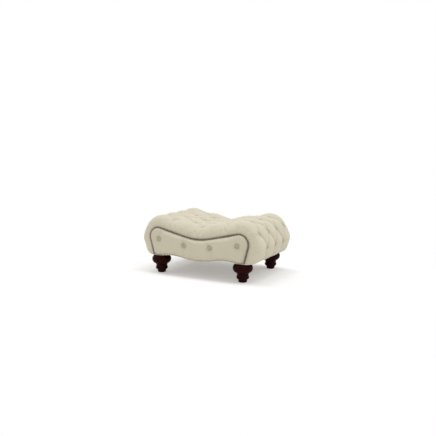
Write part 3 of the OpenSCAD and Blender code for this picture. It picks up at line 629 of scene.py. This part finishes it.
        # A flat face under each end
        right = [*strip[-1, :-1].tolist(), *range(high * wide - 1, (high - 1) * wide, -1)]
        left = [*range(wide), *strip[0, -2:0:-1].tolist()]
        faces = self.skin_faces(high, wide) + lining.reshape(-1, 4).tolist() + [right, left]
        points, uv = (np.concatenate([a.reshape(-1, a.shape[-1]), b.reshape(-1, a.shape[-1])])
                      for a, b in ((outer, inner), (weave, inner_weave)))
        return (points, faces, uv), np.append(crease, np.zeros(inner.size // 3))

    def button_places(self):
        """Place, outward direction and direction along the stool of each seat button."""
        i, k = np.meshgrid(np.arange(-self.s.rows, self.s.rows + 1),
                           np.arange(-self.s.columns, self.s.columns + 1), indexing="ij")
        odd = (i + k) % 2 == 1
        at = self.row_s(i[odd])
        n = self.s.button_n + self.wadding(at) - BUTTON_SINK
        out = self.saddle.spot(at, self.s.tuft_n)[1]
        place = self.saddle.at(at, self.s.tuft_n, n)
        return (spatial(place, k[odd] * self.s.column_pitch), spatial(out, 0),
                spatial(out[:, ::-1] * [1, -1], 0))


# The facings

# Steps of the mesh along and up, and how square the padding is that way
FACING_STEPS, FACING_POWERS = (340, 88), (12, 7)
# Height and waviness of the low waves
FACING_SWELL, FACING_WAVES = 0.0008, (9, 4)
# How fast the painted shade along the edge fades as the padding rises
EDGE_FADE = 2.2
# Widths of a dimple and of the held cloth, as shares of the button's radius
DIMPLE_WIDTH, FACING_HOLD = 1.6, 1.1
# Gathers round a button: depth, radius and width
PLEAT_DEPTH, PLEAT_R, PLEAT_WIDTH = 0.0035, 0.017, 0.010
# Painted shade round a button: radius, width, what a gather adds to it, and what a crest takes away
STAR_R, STAR_WIDTH, STAR_REACH, STAR_CREST = 0.011, 0.007, 0.012, 0.4


def facing_spots(f):
    """Places of a facing's buttons, as [x, z]."""
    return np.array([[-f.outer_x, f.outer_z], [-f.inner_x, f.inner_z],
                     [f.inner_x, f.inner_z], [f.outer_x, f.outer_z]])


def sag(d, r):
    """How far an arc of radius r has dropped at distance d from its top."""
    return r - np.sqrt(np.maximum(r * r - d * d, 0))


class Facing:
    """The facing pad: a patch stretched between the saddle curve on top, the skirt below
    and the two sides, which run from the bottom up round half of each roll."""

    def __init__(self, have, side):
        self.saddle, self.s, self.settling = Saddle(have.saddle), have.facing, have.settling
        curve = self.saddle
        self.side = side
        self.top_s = curve.roll_start(0) + curve.roll_r * (curve.flank + pi / 4)
        draw = np.random.default_rng(have.cover.seed + side)
        self.pleats = draw.integers(8, 12, 4)
        self.phase = draw.uniform(0, 2 * pi, 4)
        self.swell = draw.uniform(-1, 1, (5, 4)) * [1, 1, 1, FACING_SWELL]

    def skirt(self, x):
        """Height of the bottom edge: a drop between two arches, all of round arcs."""
        f, hem, a = self.s, self.saddle.hem_z, np.abs(x)
        drop, reach = f.skirt_drop + f.skirt_arch, f.foot_x - f.arch_x
        wide_r = (f.arch_x**2 + drop**2) / 4 / drop
        small_r = (reach**2 + f.skirt_arch**2) / 4 / f.skirt_arch
        return np.select(
            [a < f.arch_x / 2, a < f.arch_x, a < f.arch_x + reach / 2, a < f.foot_x],
            [hem - f.skirt_drop + sag(a, wide_r), hem + f.skirt_arch - sag(f.arch_x - a, wide_r),
             hem + f.skirt_arch - sag(a - f.arch_x, small_r), hem + sag(f.foot_x - a, small_r)],
            hem)

    def edges(self, u, v, n, lift):
        """The top, right and low edges at offset n, as [x, z], with lift over the skirt."""
        curve, low = self.saddle, self.saddle.hem_z + lift
        end = curve.half_len(0) + curve.side_len(n, low)
        x = (2 * u - 1) * curve.side_x(n, low)
        return (curve.at((2 * u - 1) * self.top_s, 0, n),
                curve.at(end + (self.top_s - end) * v, 0, n), stack(x, self.skirt(x) + lift))

    def patch(self, u, v):
        """Places of the patch: the blend of the left and right edges by u, plus the blend
        of the low and top edges by v, less the blend of the four corners."""
        n, ends = self.s.rim_n, np.array([0.0, 1.0])
        top, right, low = self.edges(u, v, n, -n)
        top_end, _, low_end = self.edges(ends, ends, n, -n)
        u, v = u[..., None], v[..., None]
        corners = ((1 - v) * ((1 - u) * low_end[0] + u * low_end[1])
                   + v * ((1 - u) * top_end[0] + u * top_end[1]))
        return (1 - v) * low + v * top + (1 - u) * right * [-1, 1] + u * right - corners

    def rise(self, u, v, q):
        """Rise of the pad: the crown times the root of two bulges that are 0 on the edges,
        less a bell at each button, with gathers in a ring round it, and the painted shade of
        each point, along the edges and round the buttons. The cloth is held on the edges and at
        the buttons."""
        f = self.s
        across, up = (1 - np.abs(2 * w - 1) ** power for w, power in zip((u, v), FACING_POWERS))
        bulge = np.sqrt(np.maximum(across * up, 0))
        # Painted shade along the edges, fading as the padding rises
        out, crease, held = f.crown * bulge, bell(EDGE_FADE * bulge, 1), bulge == 0
        for spot, pleats, phase in zip(facing_spots(f), self.pleats, self.phase):
            dx, dz = q[..., 0] - spot[0], q[..., 1] - spot[1]
            r = np.hypot(dx, dz)
            fold = np.abs(np.cos(pleats * np.arctan2(dz, dx) / 2 + phase))
            out = (out - f.dimple * bell(r, DIMPLE_WIDTH * f.button_r)
                   - PLEAT_DEPTH * (1 - fold) ** 2 * bell(r - PLEAT_R, PLEAT_WIDTH))
            # Painted shade round the button, drawn out along its gathers
            star = bell(r - STAR_R, STAR_WIDTH + STAR_REACH * (1 - fold))
            crease = np.maximum(crease, star * (1 - STAR_CREST * fold))
            held |= r < FACING_HOLD * f.button_r
        waves = swells(self.swell, FACING_WAVES[0] * u, FACING_WAVES[1] * v)
        return out + bulge * waves, crease, held

    def shell(self):
        """Points, faces and weave of the closed pad, and the painted shade of its points. The pad
        is the patch, a flat rim under the nails, an edge and a flat back. In front, y and the
        loops are turned."""
        s, (nu, nv) = self.s, FACING_STEPS
        u, v = np.meshgrid(np.linspace(0, 1, nu + 1),
                           0.5 - 0.5 * np.cos(np.linspace(0, pi, nv + 1)), indexing="ij")
        q = self.patch(u, v)
        rise, crease, held = self.rise(u, v, q)
        grid = settled(spatial(q, s.cloth_y + rise), held, False, self.settling).reshape(-1, 3)
        i, j, wide = np.arange(nu + 1), np.arange(nv + 1), nv + 1
        rim = np.concatenate([i * wide, nu * wide + j[1:], i[-2::-1] * wide + nv, j[-2:0:-1]])
        top, right, low = self.edges(u, v, s.edge_n, 0.0)
        ring = np.concatenate([low[:, 0], right[-1, 1:], top[-2::-1, -1],
                               right[0, -2:0:-1] * [-1, 1]])
        inner = q.reshape(-1, 2)[rim]
        rings = [spatial(inner + (ring - inner) * part, y) for part, y in
                 ((0.5, s.cloth_y), (1.0, s.cloth_y), (1.0, s.back_y))]
        number = len(grid) + np.arange(len(rings) * len(rim)).reshape(len(rings), -1)
        number = np.concatenate([rim[None], number])
        after = np.roll(number, -1, axis=1)
        band = stack(number[:-1], after[:-1], after[1:], number[1:]).reshape(-1, 4)
        faces = grid_quads(wide, nu + 1).tolist() + band.tolist() + [number[-1].tolist()]
        points = np.concatenate([grid, *rings])
        shade = np.append(crease, np.zeros(len(points) - len(grid)))
        faces = [face[::self.side] for face in faces]
        return (points * [1, self.side, 1], faces, points[:, [0, 2]]), shade


# Materials


class Number:
    """A value that a node gives, and that takes part in sums written in Python."""

    def __init__(self, nodes, socket):
        self.nodes, self.socket = nodes, socket

    def output(self, key):
        """Another output of the same node."""
        return Number(self.nodes, self.socket.node.outputs[key])

    def sine(self):
        return self.nodes.sum("SINE", self)

    def __add__(self, other):
        return self.nodes.sum("ADD", self, other)

    def __sub__(self, other):
        return self.nodes.sum("SUBTRACT", self, other)

    def __rsub__(self, other):
        return self.nodes.sum("SUBTRACT", other, self)

    def __mul__(self, other):
        return self.nodes.sum("MULTIPLY", self, other)

    __radd__, __rmul__ = __add__, __mul__


class Nodes:
    """A tree of nodes, and the one way in which they are made."""

    def __init__(self, tree):
        self.tree = tree

    def node(self, kind, options=None, inputs=None, out=0):
        """Adds a node: its settings are set first, then its sockets are set or linked."""
        made = self.tree.nodes.new(kind)
        for key, value in (options or {}).items():
            setattr(made, key, value)
        for key, value in (inputs or {}).items():
            if isinstance(value, Number):
                self.link(value, made.inputs[key])
            else:
                made.inputs[key].default_value = value
        return Number(self, made.outputs[out])

    def link(self, value, socket):
        self.tree.links.new(value.socket, socket)

    def sum(self, operation, *values):
        return self.node("ShaderNodeMath", {"operation": operation}, dict(enumerate(values)))

    def between(self, value, low, high, start=0.0, end=1.0):
        """The value carried from low..high to start..end, and kept inside."""
        return self.node("ShaderNodeMapRange", {"clamp": True}, {
            "Value": value, "From Min": low, "From Max": high, "To Min": start, "To Max": end})

    def seen(self):
        """1 where the camera, a gloss or a clear thing looks, and 0 for plain light."""
        most = camera = self.node("ShaderNodeLightPath", out="Is Camera Ray")
        for key in ("Is Glossy Ray", "Is Transmission Ray"):
            most = self.sum("MAXIMUM", most, camera.output(key))
        return most


class Finish(Nodes):
    """A material, and the patterns that the finishes share."""

    def __init__(self, **constants):
        self.material = bpy.data.materials.new("finish")
        self.material.use_nodes = True
        super().__init__(self.material.node_tree)
        self.shader = self.tree.nodes["Principled BSDF"]
        for key, value in constants.items():
            self.shader.inputs[key.replace("_", " ")].default_value = value

    def done(self, tone, roughness, height, strength, distance):
        """Feeds the colour, the roughness and a bump, and gives the material."""
        bump = self.node("ShaderNodeBump", {}, {
            "Height": height, "Strength": strength, "Distance": distance})
        for key, value in (("Base Color", tone), ("Roughness", roughness), ("Normal", bump)):
            self.link(value, self.shader.inputs[key])
        return self.material

    def objects(self):
        return self.node("ShaderNodeTexCoord", out="Object")

    def axes(self, vector, keys):
        """The parts of a place along the named axes."""
        parts = self.node("ShaderNodeSeparateXYZ", {}, {0: vector})
        return [parts.output(key) for key in keys]

    def attribute(self, name):
        return self.node("ShaderNodeAttribute", {"attribute_name": name}, {}, "Fac")

    def noise(self, vector, scale, detail=2.0, roughness=0.5, distortion=0.0):
        """A cloudy pattern, whose three scales may stretch it along the axes."""
        if isinstance(scale, tuple):
            vector = self.node("ShaderNodeMapping", {}, {"Vector": vector, "Scale": scale})
            scale = 1.0
        return self.node("ShaderNodeTexNoise", {}, {
            "Vector": vector, "Scale": scale, "Detail": detail, "Roughness": roughness,
            "Distortion": distortion}, "Fac")

    def mix(self, factor, first, second):
        """A colour between two others."""
        a, b = (c if isinstance(c, Number) else (*c, 1) for c in (first, second))
        return self.node("ShaderNodeMix", {"data_type": "RGBA"}, {0: factor, 6: a, 7: b}, 2)

    def shades(self, level, tone, dark, light):
        """A colour from a darker to a lighter one."""
        return self.mix(level, toned(tone, dark), toned(tone, light))


def toned(tone, scale):
    """A colour made lighter or darker."""
    return tuple(min(1.0, part * scale) for part in tone)


def cloth(tone, shade, uv=True, thread=0.0011):
    """Plain woven cloth: two sets of threads that pass over and under each other, slubs,
    a slight unevenness of the dye, and painted shade in the folds, round the buttons and
    along the nails, read from a point value."""
    made = Finish(Sheen_Weight=0.25, Sheen_Roughness=0.45, Specular_IOR_Level=0.25)
    where, turns = made.objects(), 2 * pi / thread
    weave = made.node("ShaderNodeUVMap", {"uv_map": "weave"}) if uv else where
    across, up = made.axes(weave, "XY")
    over = (across * turns).sine() * (up * turns).sine()
    slub = made.noise(weave, (90, 900, 90), 3.0)
    slub_up = made.noise(weave, (900, 90, 90), 3.0)
    patch, fleck = made.noise(where, 7.0, 3.0, 0.6), made.noise(where, 160.0, 2.0, 0.7)
    level = made.between(patch, 0.3, 0.7) * 0.45 + slub * 0.2 + slub_up * 0.2 + fleck * 0.15
    # Painted shade: the cloth turns towards the shade colour where the point value says
    ground = made.mix(made.attribute("crease"), made.shades(level, tone, 0.94, 1.045), shade)
    return made.done(ground, 0.82 + 0.1 * level, over * 0.5 + slub + slub_up, 0.35, 0.00025)


def mahogany(tone, grain_tone):
    """Dark stained mahogany under gloss lacquer: long grain along the turning, fine pores
    and a little orange peel in the lacquer."""
    made = Finish(Specular_IOR_Level=0.02, Coat_Weight=0.05, Coat_Roughness=0.05, Coat_IOR=1.5)
    where = made.objects()
    grain = made.noise(where, (40, 40, 6), 5.0, 0.65, 0.8)
    pores = made.noise(where, (900, 900, 70))
    level = made.between(grain, 0.35, 0.7) * made.between(pores, 0.3, 0.6, 0.6, 1.0)
    return made.done(made.mix(level, tone, grain_tone), 0.34 + 0.16 * pores,
                     made.noise(where, 260.0, 1.0) * 0.4 + pores * 0.3, 0.12, 0.0004)


def bronze(tone, patina):
    """Antiqued bronze: bright on the tops of the domes and dark round their rims, with a
    different tone on each nail."""
    made = Finish(Metallic=1.0)
    where = made.objects()
    stain = made.noise(where, 420.0, 3.0, 0.6)
    uneven = (stain - 0.5) * 0.7 + (made.attribute("tint") - 0.5) * 0.5
    level = made.between(made.attribute("wear") + uneven, 0.2, 0.9)
    return made.done(made.mix(level, patina, tone), made.between(level, 0, 1, 0.55, 0.3),
                     made.noise(where, 700.0), 0.2, 0.0004)


def timber(tone, stretch, layers=None):
    """Bare wood: grain drawn out along one direction, darker late wood and fine pores.
    Plywood also has layers, given as their thickness, across Y."""
    made = Finish(Specular_IOR_Level=0.35)
    where = made.objects()
    rings = made.noise(where, stretch, 4.0, 0.6, 1.5)
    pores = made.noise(where, tuple(part * 14 for part in stretch))
    level = made.between((rings * 34.0).sine(), -1, 1) * 0.55 + pores * 0.45
    ground = made.shades(level, tone, 0.78, 1.12)
    if layers:
        (depth,) = made.axes(where, "Y")
        stripe = made.between((depth * (pi / layers)).sine(), -0.15, 0.15)
        ground = made.mix(stripe * 0.3, ground, toned(tone, 0.62))
    return made.done(ground, 0.55 + 0.2 * pores, level, 0.3, 0.0005)


def plated(tone):
    """Zinc plated steel with fine drawing lines and a faint haze."""
    made = Finish(Metallic=1.0)
    where = made.objects()
    lines, haze = made.noise(where, (1500, 1500, 60)), made.noise(where, 35.0, 3.0)
    return made.done(made.shades(haze, tone, 0.82, 1.1), 0.22 + 0.18 * haze, lines, 0.08, 0.0003)


def grained(tone, scale, depth, roughness, holes=False):
    """Moulded or foamed stuff: a fine grain or cell pattern in colour and height."""
    made = Finish()
    where = made.objects()
    if holes:
        cells = made.node("ShaderNodeTexVoronoi", {"feature": "F1"},
                          {"Vector": where, "Scale": scale}, "Distance")
        level = made.between(cells, 0.1, 0.6)
    else:
        level = made.noise(where, scale, 3.0, 0.6)
    return made.done(made.shades(level, tone, 0.75, 1.15), (roughness - 0.06) + 0.12 * level,
                     level, 0.4, depth)


def twisted(tone):
    """Waxed twine: strands that wind round, as slanting stripes across the length."""
    made = Finish(Specular_IOR_Level=0.4)
    x, y, z = made.axes(made.objects(), "XYZ")
    strand = ((x + y + z) * 3600.0).sine() * 0.5 + 0.5
    return made.done(made.shades(strand, tone, 0.7, 1.1), 0.45 + 0.2 * strand, strand, 0.5, 0.0004)


def finish_name(node):
    """Name of the material of a node's slot."""
    return f"{SLOTS[node]} finish"


# Light, floor and camera

# Camera fitted to the photograph: its place, and its turns in degrees
CAMERA_PLACE, CAMERA_TURNS = (2.2210, -4.1344, 1.0846), (81.88, 0, 28.14)
# Overhead lamps: turns to the sides and to the back in degrees, share of the light that
# makes white, and spread in degrees
LAMP_TURNS, LAMP_LEAN, LAMP_POWER, LAMP_SPREAD = (-45, -14, 14, 45), -3, 0.134, 20
# Even light from all round, as a share of white
WORLD_POWER = 0.60
# Half the floor's width, and the distances between which it turns all white
FLOOR_REACH, WHITE_FROM, WHITE_BY = 30.0, 0.9, 2.2
# What the floor throws back, and its paint and shine that the camera sees
FLOOR_BOUNCE = (0.86, 0.84, 0.79)
FLOOR_PAINT, FLOOR_SHINE = (0.71, 0.72, 0.745), (0.35, 0.335, 0.31)


def floor_finish():
    """Matt pale floor. The camera sees it a little darker and with a shine of its own, which
    makes it white in the open and keeps the shadow pale, and it turns all white further
    out. From below it isn't there."""
    made = Finish(Base_Color=(*FLOOR_BOUNCE, 1), Roughness=1.0, Specular_IOR_Level=0.0)
    seen = made.seen()
    away = made.node("ShaderNodeVectorMath", {"operation": "LENGTH"}, {0: made.objects()}, "Value")
    lit, shine = (made.node("ShaderNodeEmission", {}, {"Color": (*tone, 1), "Strength": 1.0})
                  for tone in ((1, 1, 1), FLOOR_SHINE))
    paint = made.node("ShaderNodeBsdfDiffuse", {}, {"Color": (*FLOOR_PAINT, 1)})
    shown = Number(made, made.shader.outputs[0])
    for factor, other in (
            (seen, made.node("ShaderNodeAddShader", {}, {0: paint, 1: shine})),
            (seen * made.between(away, WHITE_FROM, WHITE_BY), lit),
            (made.node("ShaderNodeNewGeometry", out="Backfacing"),
             made.node("ShaderNodeBsdfTransparent"))):
        shown = made.node("ShaderNodeMixShader", {}, {0: factor, 1: shown, 2: other})
    made.link(shown, made.tree.nodes["Material Output"].inputs["Surface"])
    return made.material


def studio_world():
    """Even light from all round, and white where the camera or a gloss looks."""
    world = bpy.data.worlds.new("studio")
    world.use_nodes = True
    made = Nodes(world.node_tree)
    back = made.tree.nodes["Background"]
    back.inputs["Color"].default_value = (1, 1, 1, 1)
    made.link(made.between(made.seen(), 0, 1, WORLD_POWER, 1.0), back.inputs["Strength"])
    return world


# Operators

# Points round a foot, a button and a nail head
FOOT_POINTS, BUTTON_POINTS, NAIL_POINTS = 72, 32, 14
# Step along a foot's profile, and how often its corners are eased
FOOT_STEP, FOOT_EASE = 0.0015, 2
# How unevenly the nails sit: along their line, across it and in their tilt
NAIL_SLIP, NAIL_DRIFT, NAIL_TILT = 0.00018, 0.0002, 0.05
# Room between the last nail's head and the hem, and between a head and the cloth
NAIL_ROOM, NAIL_GAP = 0.004, 0.0001
# Seed of the nails, counted from the cloth's
NAIL_SEED = 20
# How much darker the buttons' cloth is made, as painted shade of the dimples they sit in, and its
# thread, which is finer
BUTTON_PAINTED_SHADE, BUTTON_THREAD = 0.78, 0.0009


class FOOTSTOOL_OT_finishes(bpy.types.Operator):
    """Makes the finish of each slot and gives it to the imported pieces"""

    bl_idname = "footstool.finishes"
    bl_label = "Finishes"

    def execute(self, context):
        tones = settings().finish
        # The buttons' cloth is darkened as painted shade
        shaded_button_tone = toned(tones.cloth, BUTTON_PAINTED_SHADE)
        made = {
            "cover_fabric": cloth(tones.cloth, tones.fold_shade),
            "facing_fabric": cloth(tones.cloth, tones.fold_shade),
            "button_fabric": cloth(shaded_button_tone, tones.fold_shade, False, BUTTON_THREAD),
            "nail_bronze": bronze(tones.bronze, tones.patina),
            "foot_wood": mahogany(tones.foot, tones.foot_grain),
            "frame_wood": timber(tones.birch, (5, 60, 60), 0.0015),
            "slat_wood": timber(tones.pine, (60, 4, 60)),
            "steel": plated(tones.steel),
            "glide": grained(tones.nylon, 900.0, 0.0002, 0.45),
            "foam": grained(tones.foam, 700.0, 0.0008, 0.9, True),
            "twine": twisted(tones.twine),
            "dust_cloth": grained(tones.lining, 1200.0, 0.0003, 0.8),
        }
        for name, obj in frame["nodes"].items():
            finish = made[SLOTS[name]]
            finish.name = finish_name(name)
            obj.data.materials.clear()
            obj.data.materials.append(finish)
        return {"FINISHED"}


class FOOTSTOOL_OT_cover(bpy.types.Operator):
    """Makes the tufted cover"""

    bl_idname = "footstool.cover"
    bl_label = "Tufted cover"

    def execute(self, context):
        shape, shade = Cover(settings()).shell()
        dressed("tufted_cloth_cover", shape, "tufted_cover", 0.7, crease=shade)
        return {"FINISHED"}


class FOOTSTOOL_OT_facings(bpy.types.Operator):
    """Makes the padded facings"""

    bl_idname = "footstool.facings"
    bl_label = "Padded facings"

    def execute(self, context):
        for name, side in FACES:
            shape, shade = Facing(settings(), side).shell()
            dressed(f"{name}_padded_facing", shape, f"{name}_facing_pad", 0.6, crease=shade)
        return {"FINISHED"}


def button_profile(radius, height):
    """Half section of a covered button as [r, z]: a flat back, a rounded rim and a dome."""
    rim, bend, rim_steps, dome_steps, spread = 0.0015, 0.0008, 5, 14, 0.8
    dome = height - rim
    dome_r = (radius**2 + dome**2) / 2 / dome
    r = radius * np.linspace(1, 0, dome_steps) ** spread
    return np.concatenate([[[0, 0], [radius / 2, 0]],
                           arc((radius - bend, bend), bend, -pi / 2, 0, rim_steps),
                           stack(r, height - dome_r + np.sqrt(dome_r**2 - r**2))])


class FOOTSTOOL_OT_buttons(bpy.types.Operator):
    """Makes the covered buttons of the seat and of the facings"""

    bl_idname = "footstool.buttons"
    bl_label = "Covered buttons"

    def execute(self, context):
        f = settings().facing
        sets = [("seat", Cover(settings()).button_places())]
        for name, side in FACES:
            places = spatial(facing_spots(f), side * (f.cloth_y + f.crown - f.dimple - BUTTON_SINK))
            ways = (np.tile(way, (len(places), 1)) for way in ([0, side, 0], [side, 0, 0]))
            sets.append((f"{name}_facing", (places, *ways)))
        profile = button_profile(f.button_r, f.button_h)
        for name, spots in sets:
            shape = scattered(profile, BUTTON_POINTS, *spots)
            dressed(f"{name}_cloth_buttons", shape, f"{name}_buttons", 0.9)
        return {"FINISHED"}


def nail_profile(radius, height):
    """Half section of a nail head as [r, z]: a flat back, a low rim and a quarter wave."""
    back, rim, steps = 0.96, 0.12, 5
    t = np.linspace(0, pi / 2, steps)[:-1]
    dome = stack(radius * np.cos(t), height * (rim + (1 - rim) * np.sin(t)))
    return np.concatenate([[[0, 0], [radius * back, 0]], dome, [[0, height]]])


def unit(ways):
    """Directions of length 1."""
    return ways / np.linalg.norm(ways, axis=1)[:, None]


class FOOTSTOOL_OT_nails(bpy.types.Operator):
    """Makes the lines of nail heads"""

    bl_idname = "footstool.nails"
    bl_label = "Nail heads"

    def execute(self, context):
        have, f = settings(), settings().facing
        saddle = Saddle(have.saddle)
        last = saddle.half_len(0) + saddle.side_len(0, saddle.hem_z + f.nail_r + NAIL_ROOM)
        number = int(last / f.nail_pitch)
        run = np.arange(-number, number + 1) * (last / number)
        size, profile = len(run), nail_profile(f.nail_r, f.nail_h)
        for name, side in FACES:
            draw = np.random.default_rng(have.cover.seed + NAIL_SEED + side)
            at = run + draw.normal(0, NAIL_SLIP, size)
            q = saddle.at(at, 0, draw.normal(0, NAIL_DRIFT, size))
            ups = unit(spatial(stack(*(draw.normal(0, NAIL_TILT, size) for _ in range(2))), side))
            along = unit(np.cross(ups, [0.0, 0.0, 1.0]))
            places = spatial(q, side * (f.cloth_y + NAIL_GAP))
            shape = scattered(profile, NAIL_POINTS, places, ups, along)
            wear = np.clip((np.abs(shape[0][:, 1]) - f.cloth_y) / f.nail_h, 0, 1)
            tint = np.repeat(draw.uniform(0, 1, size), len(wear) // size)
            dressed(f"{name}_nail_heads", shape, f"{name}_nail_trim", wear=wear, tint=tint)
        return {"FINISHED"}


def foot_profile(f):
    """Half section of a foot as [r, z], upwards: toe, bead arc, neck, hollow arc, bulb arc
    and collar. The hollow's arc touches the bulb's arc on the line of their centres."""
    bulb = (f.bulb_r - f.bulb_round, f.height - f.bulb_drop)
    apart, hollow_r = f.bulb_round + f.hollow, f.neck_r + f.hollow
    hollow = (hollow_r, bulb[1] - sqrt(apart**2 - (hollow_r - bulb[0]) ** 2))
    meet = atan2(hollow[1] - bulb[1], hollow[0] - bulb[0])
    bead = (f.bead_r - f.bead_round, f.bead_z)
    low, high = (acos((r - bead[0]) / f.bead_round) for r in (f.toe_r, f.neck_r))
    top = acos((f.collar_r - bulb[0]) / f.bulb_round)
    return np.concatenate([
        [[0, f.glide], [f.toe_r, f.glide]],
        arc(bead, f.bead_round, -low, high, 24),
        arc(hollow, f.hollow, pi, meet + pi, 24)[1:],
        arc(bulb, f.bulb_round, meet, top, 40)[1:],
        [[f.collar_r, f.height], [0, f.height]]])


def even(profile, step, rounds):
    """A profile with points at even steps along its length, whose corners are eased by
    averaging each point with its two neighbours a few times."""
    run = np.concatenate([[0], np.cumsum(np.hypot(*np.diff(profile, axis=0).T))])
    at = np.linspace(0, run[-1], int(run[-1] / step) + 1)
    out = stack(*(np.interp(at, run, part) for part in profile.T))
    for _ in range(rounds):
        out[1:-1] = (out[:-2] + 2 * out[1:-1] + out[2:]) / 4
    return out


class FOOTSTOOL_OT_feet(bpy.types.Operator):
    """Makes the turned feet"""

    bl_idname = "footstool.feet"
    bl_label = "Turned feet"

    def execute(self, context):
        have = settings()
        profile = even(foot_profile(have.foot), FOOT_STEP, FOOT_EASE)
        for name, x, y in CORNERS:
            foot = lathe(profile, FOOT_POINTS, (x * have.facing.foot_x, y * have.foot.y, 0))
            dressed(f"turned_foot_{name}", foot, f"foot_{name}")
        return {"FINISHED"}


class FOOTSTOOL_OT_stage(bpy.types.Operator):
    """Makes the floor, the light and the camera"""

    bl_idname = "footstool.stage"
    bl_label = "Stage"

    def execute(self, context):
        corners = FLOOR_REACH * np.array([[-1, -1, 0], [1, -1, 0], [1, 1, 0], [-1, 1, 0]])
        floor = surface("floor", corners, [[0, 1, 2, 3]])
        floor.data.materials.append(floor_finish())
        context.scene.world = studio_world()
        for turn in LAMP_TURNS:
            lamp = linked("lamp", bpy.data.lights.new("lamp", "SUN"))
            lamp.data.energy, lamp.data.angle = LAMP_POWER * pi, radians(LAMP_SPREAD)
            lamp.rotation_euler = (radians(LAMP_LEAN), radians(turn), 0)
        camera = linked("camera", bpy.data.cameras.new("camera"))
        camera.data.lens, camera.data.sensor_width = 50.0, 36.0
        camera.location = CAMERA_PLACE
        camera.rotation_euler = [radians(turn) for turn in CAMERA_TURNS]
        context.scene.camera = camera
        context.scene.view_settings.view_transform = "Standard"
        return {"FINISHED"}


class FOOTSTOOL_PT_panel(bpy.types.Panel):
    """Lists the footstool's operators and settings."""

    bl_idname = "FOOTSTOOL_PT_panel"
    bl_label = "Saddle Footstool"
    bl_space_type = "VIEW_3D"
    bl_region_type = "UI"
    bl_category = "Footstool"

    def draw(self, context):
        for operator in OPERATORS:
            self.layout.operator(operator.bl_idname)
        for group in FootstoolSettings.__annotations__:
            box, sizes = self.layout.box(), getattr(settings(), group)
            box.label(text=group.title())
            for key in sizes.__annotations__:
                box.prop(sizes, key)


OPERATORS = (FOOTSTOOL_OT_finishes, FOOTSTOOL_OT_cover, FOOTSTOOL_OT_facings,
             FOOTSTOOL_OT_buttons, FOOTSTOOL_OT_nails, FOOTSTOOL_OT_feet, FOOTSTOOL_OT_stage)
CLASSES = (SaddleSettings, CoverSettings, FacingSettings, SettlingSettings, FootSettings,
           FinishSettings, FootstoolSettings, *OPERATORS, FOOTSTOOL_PT_panel)


def register():
    for part in CLASSES:
        bpy.utils.register_class(part)
    bpy.types.Scene.footstool = PointerProperty(type=FootstoolSettings)


def unregister():
    del bpy.types.Scene.footstool
    for part in reversed(CLASSES):
        bpy.utils.unregister_class(part)


def main():
    register()
    for operator in OPERATORS:
        getattr(bpy.ops.footstool, operator.bl_idname.split(".")[1])()


if __name__ == "__main__":
    main()
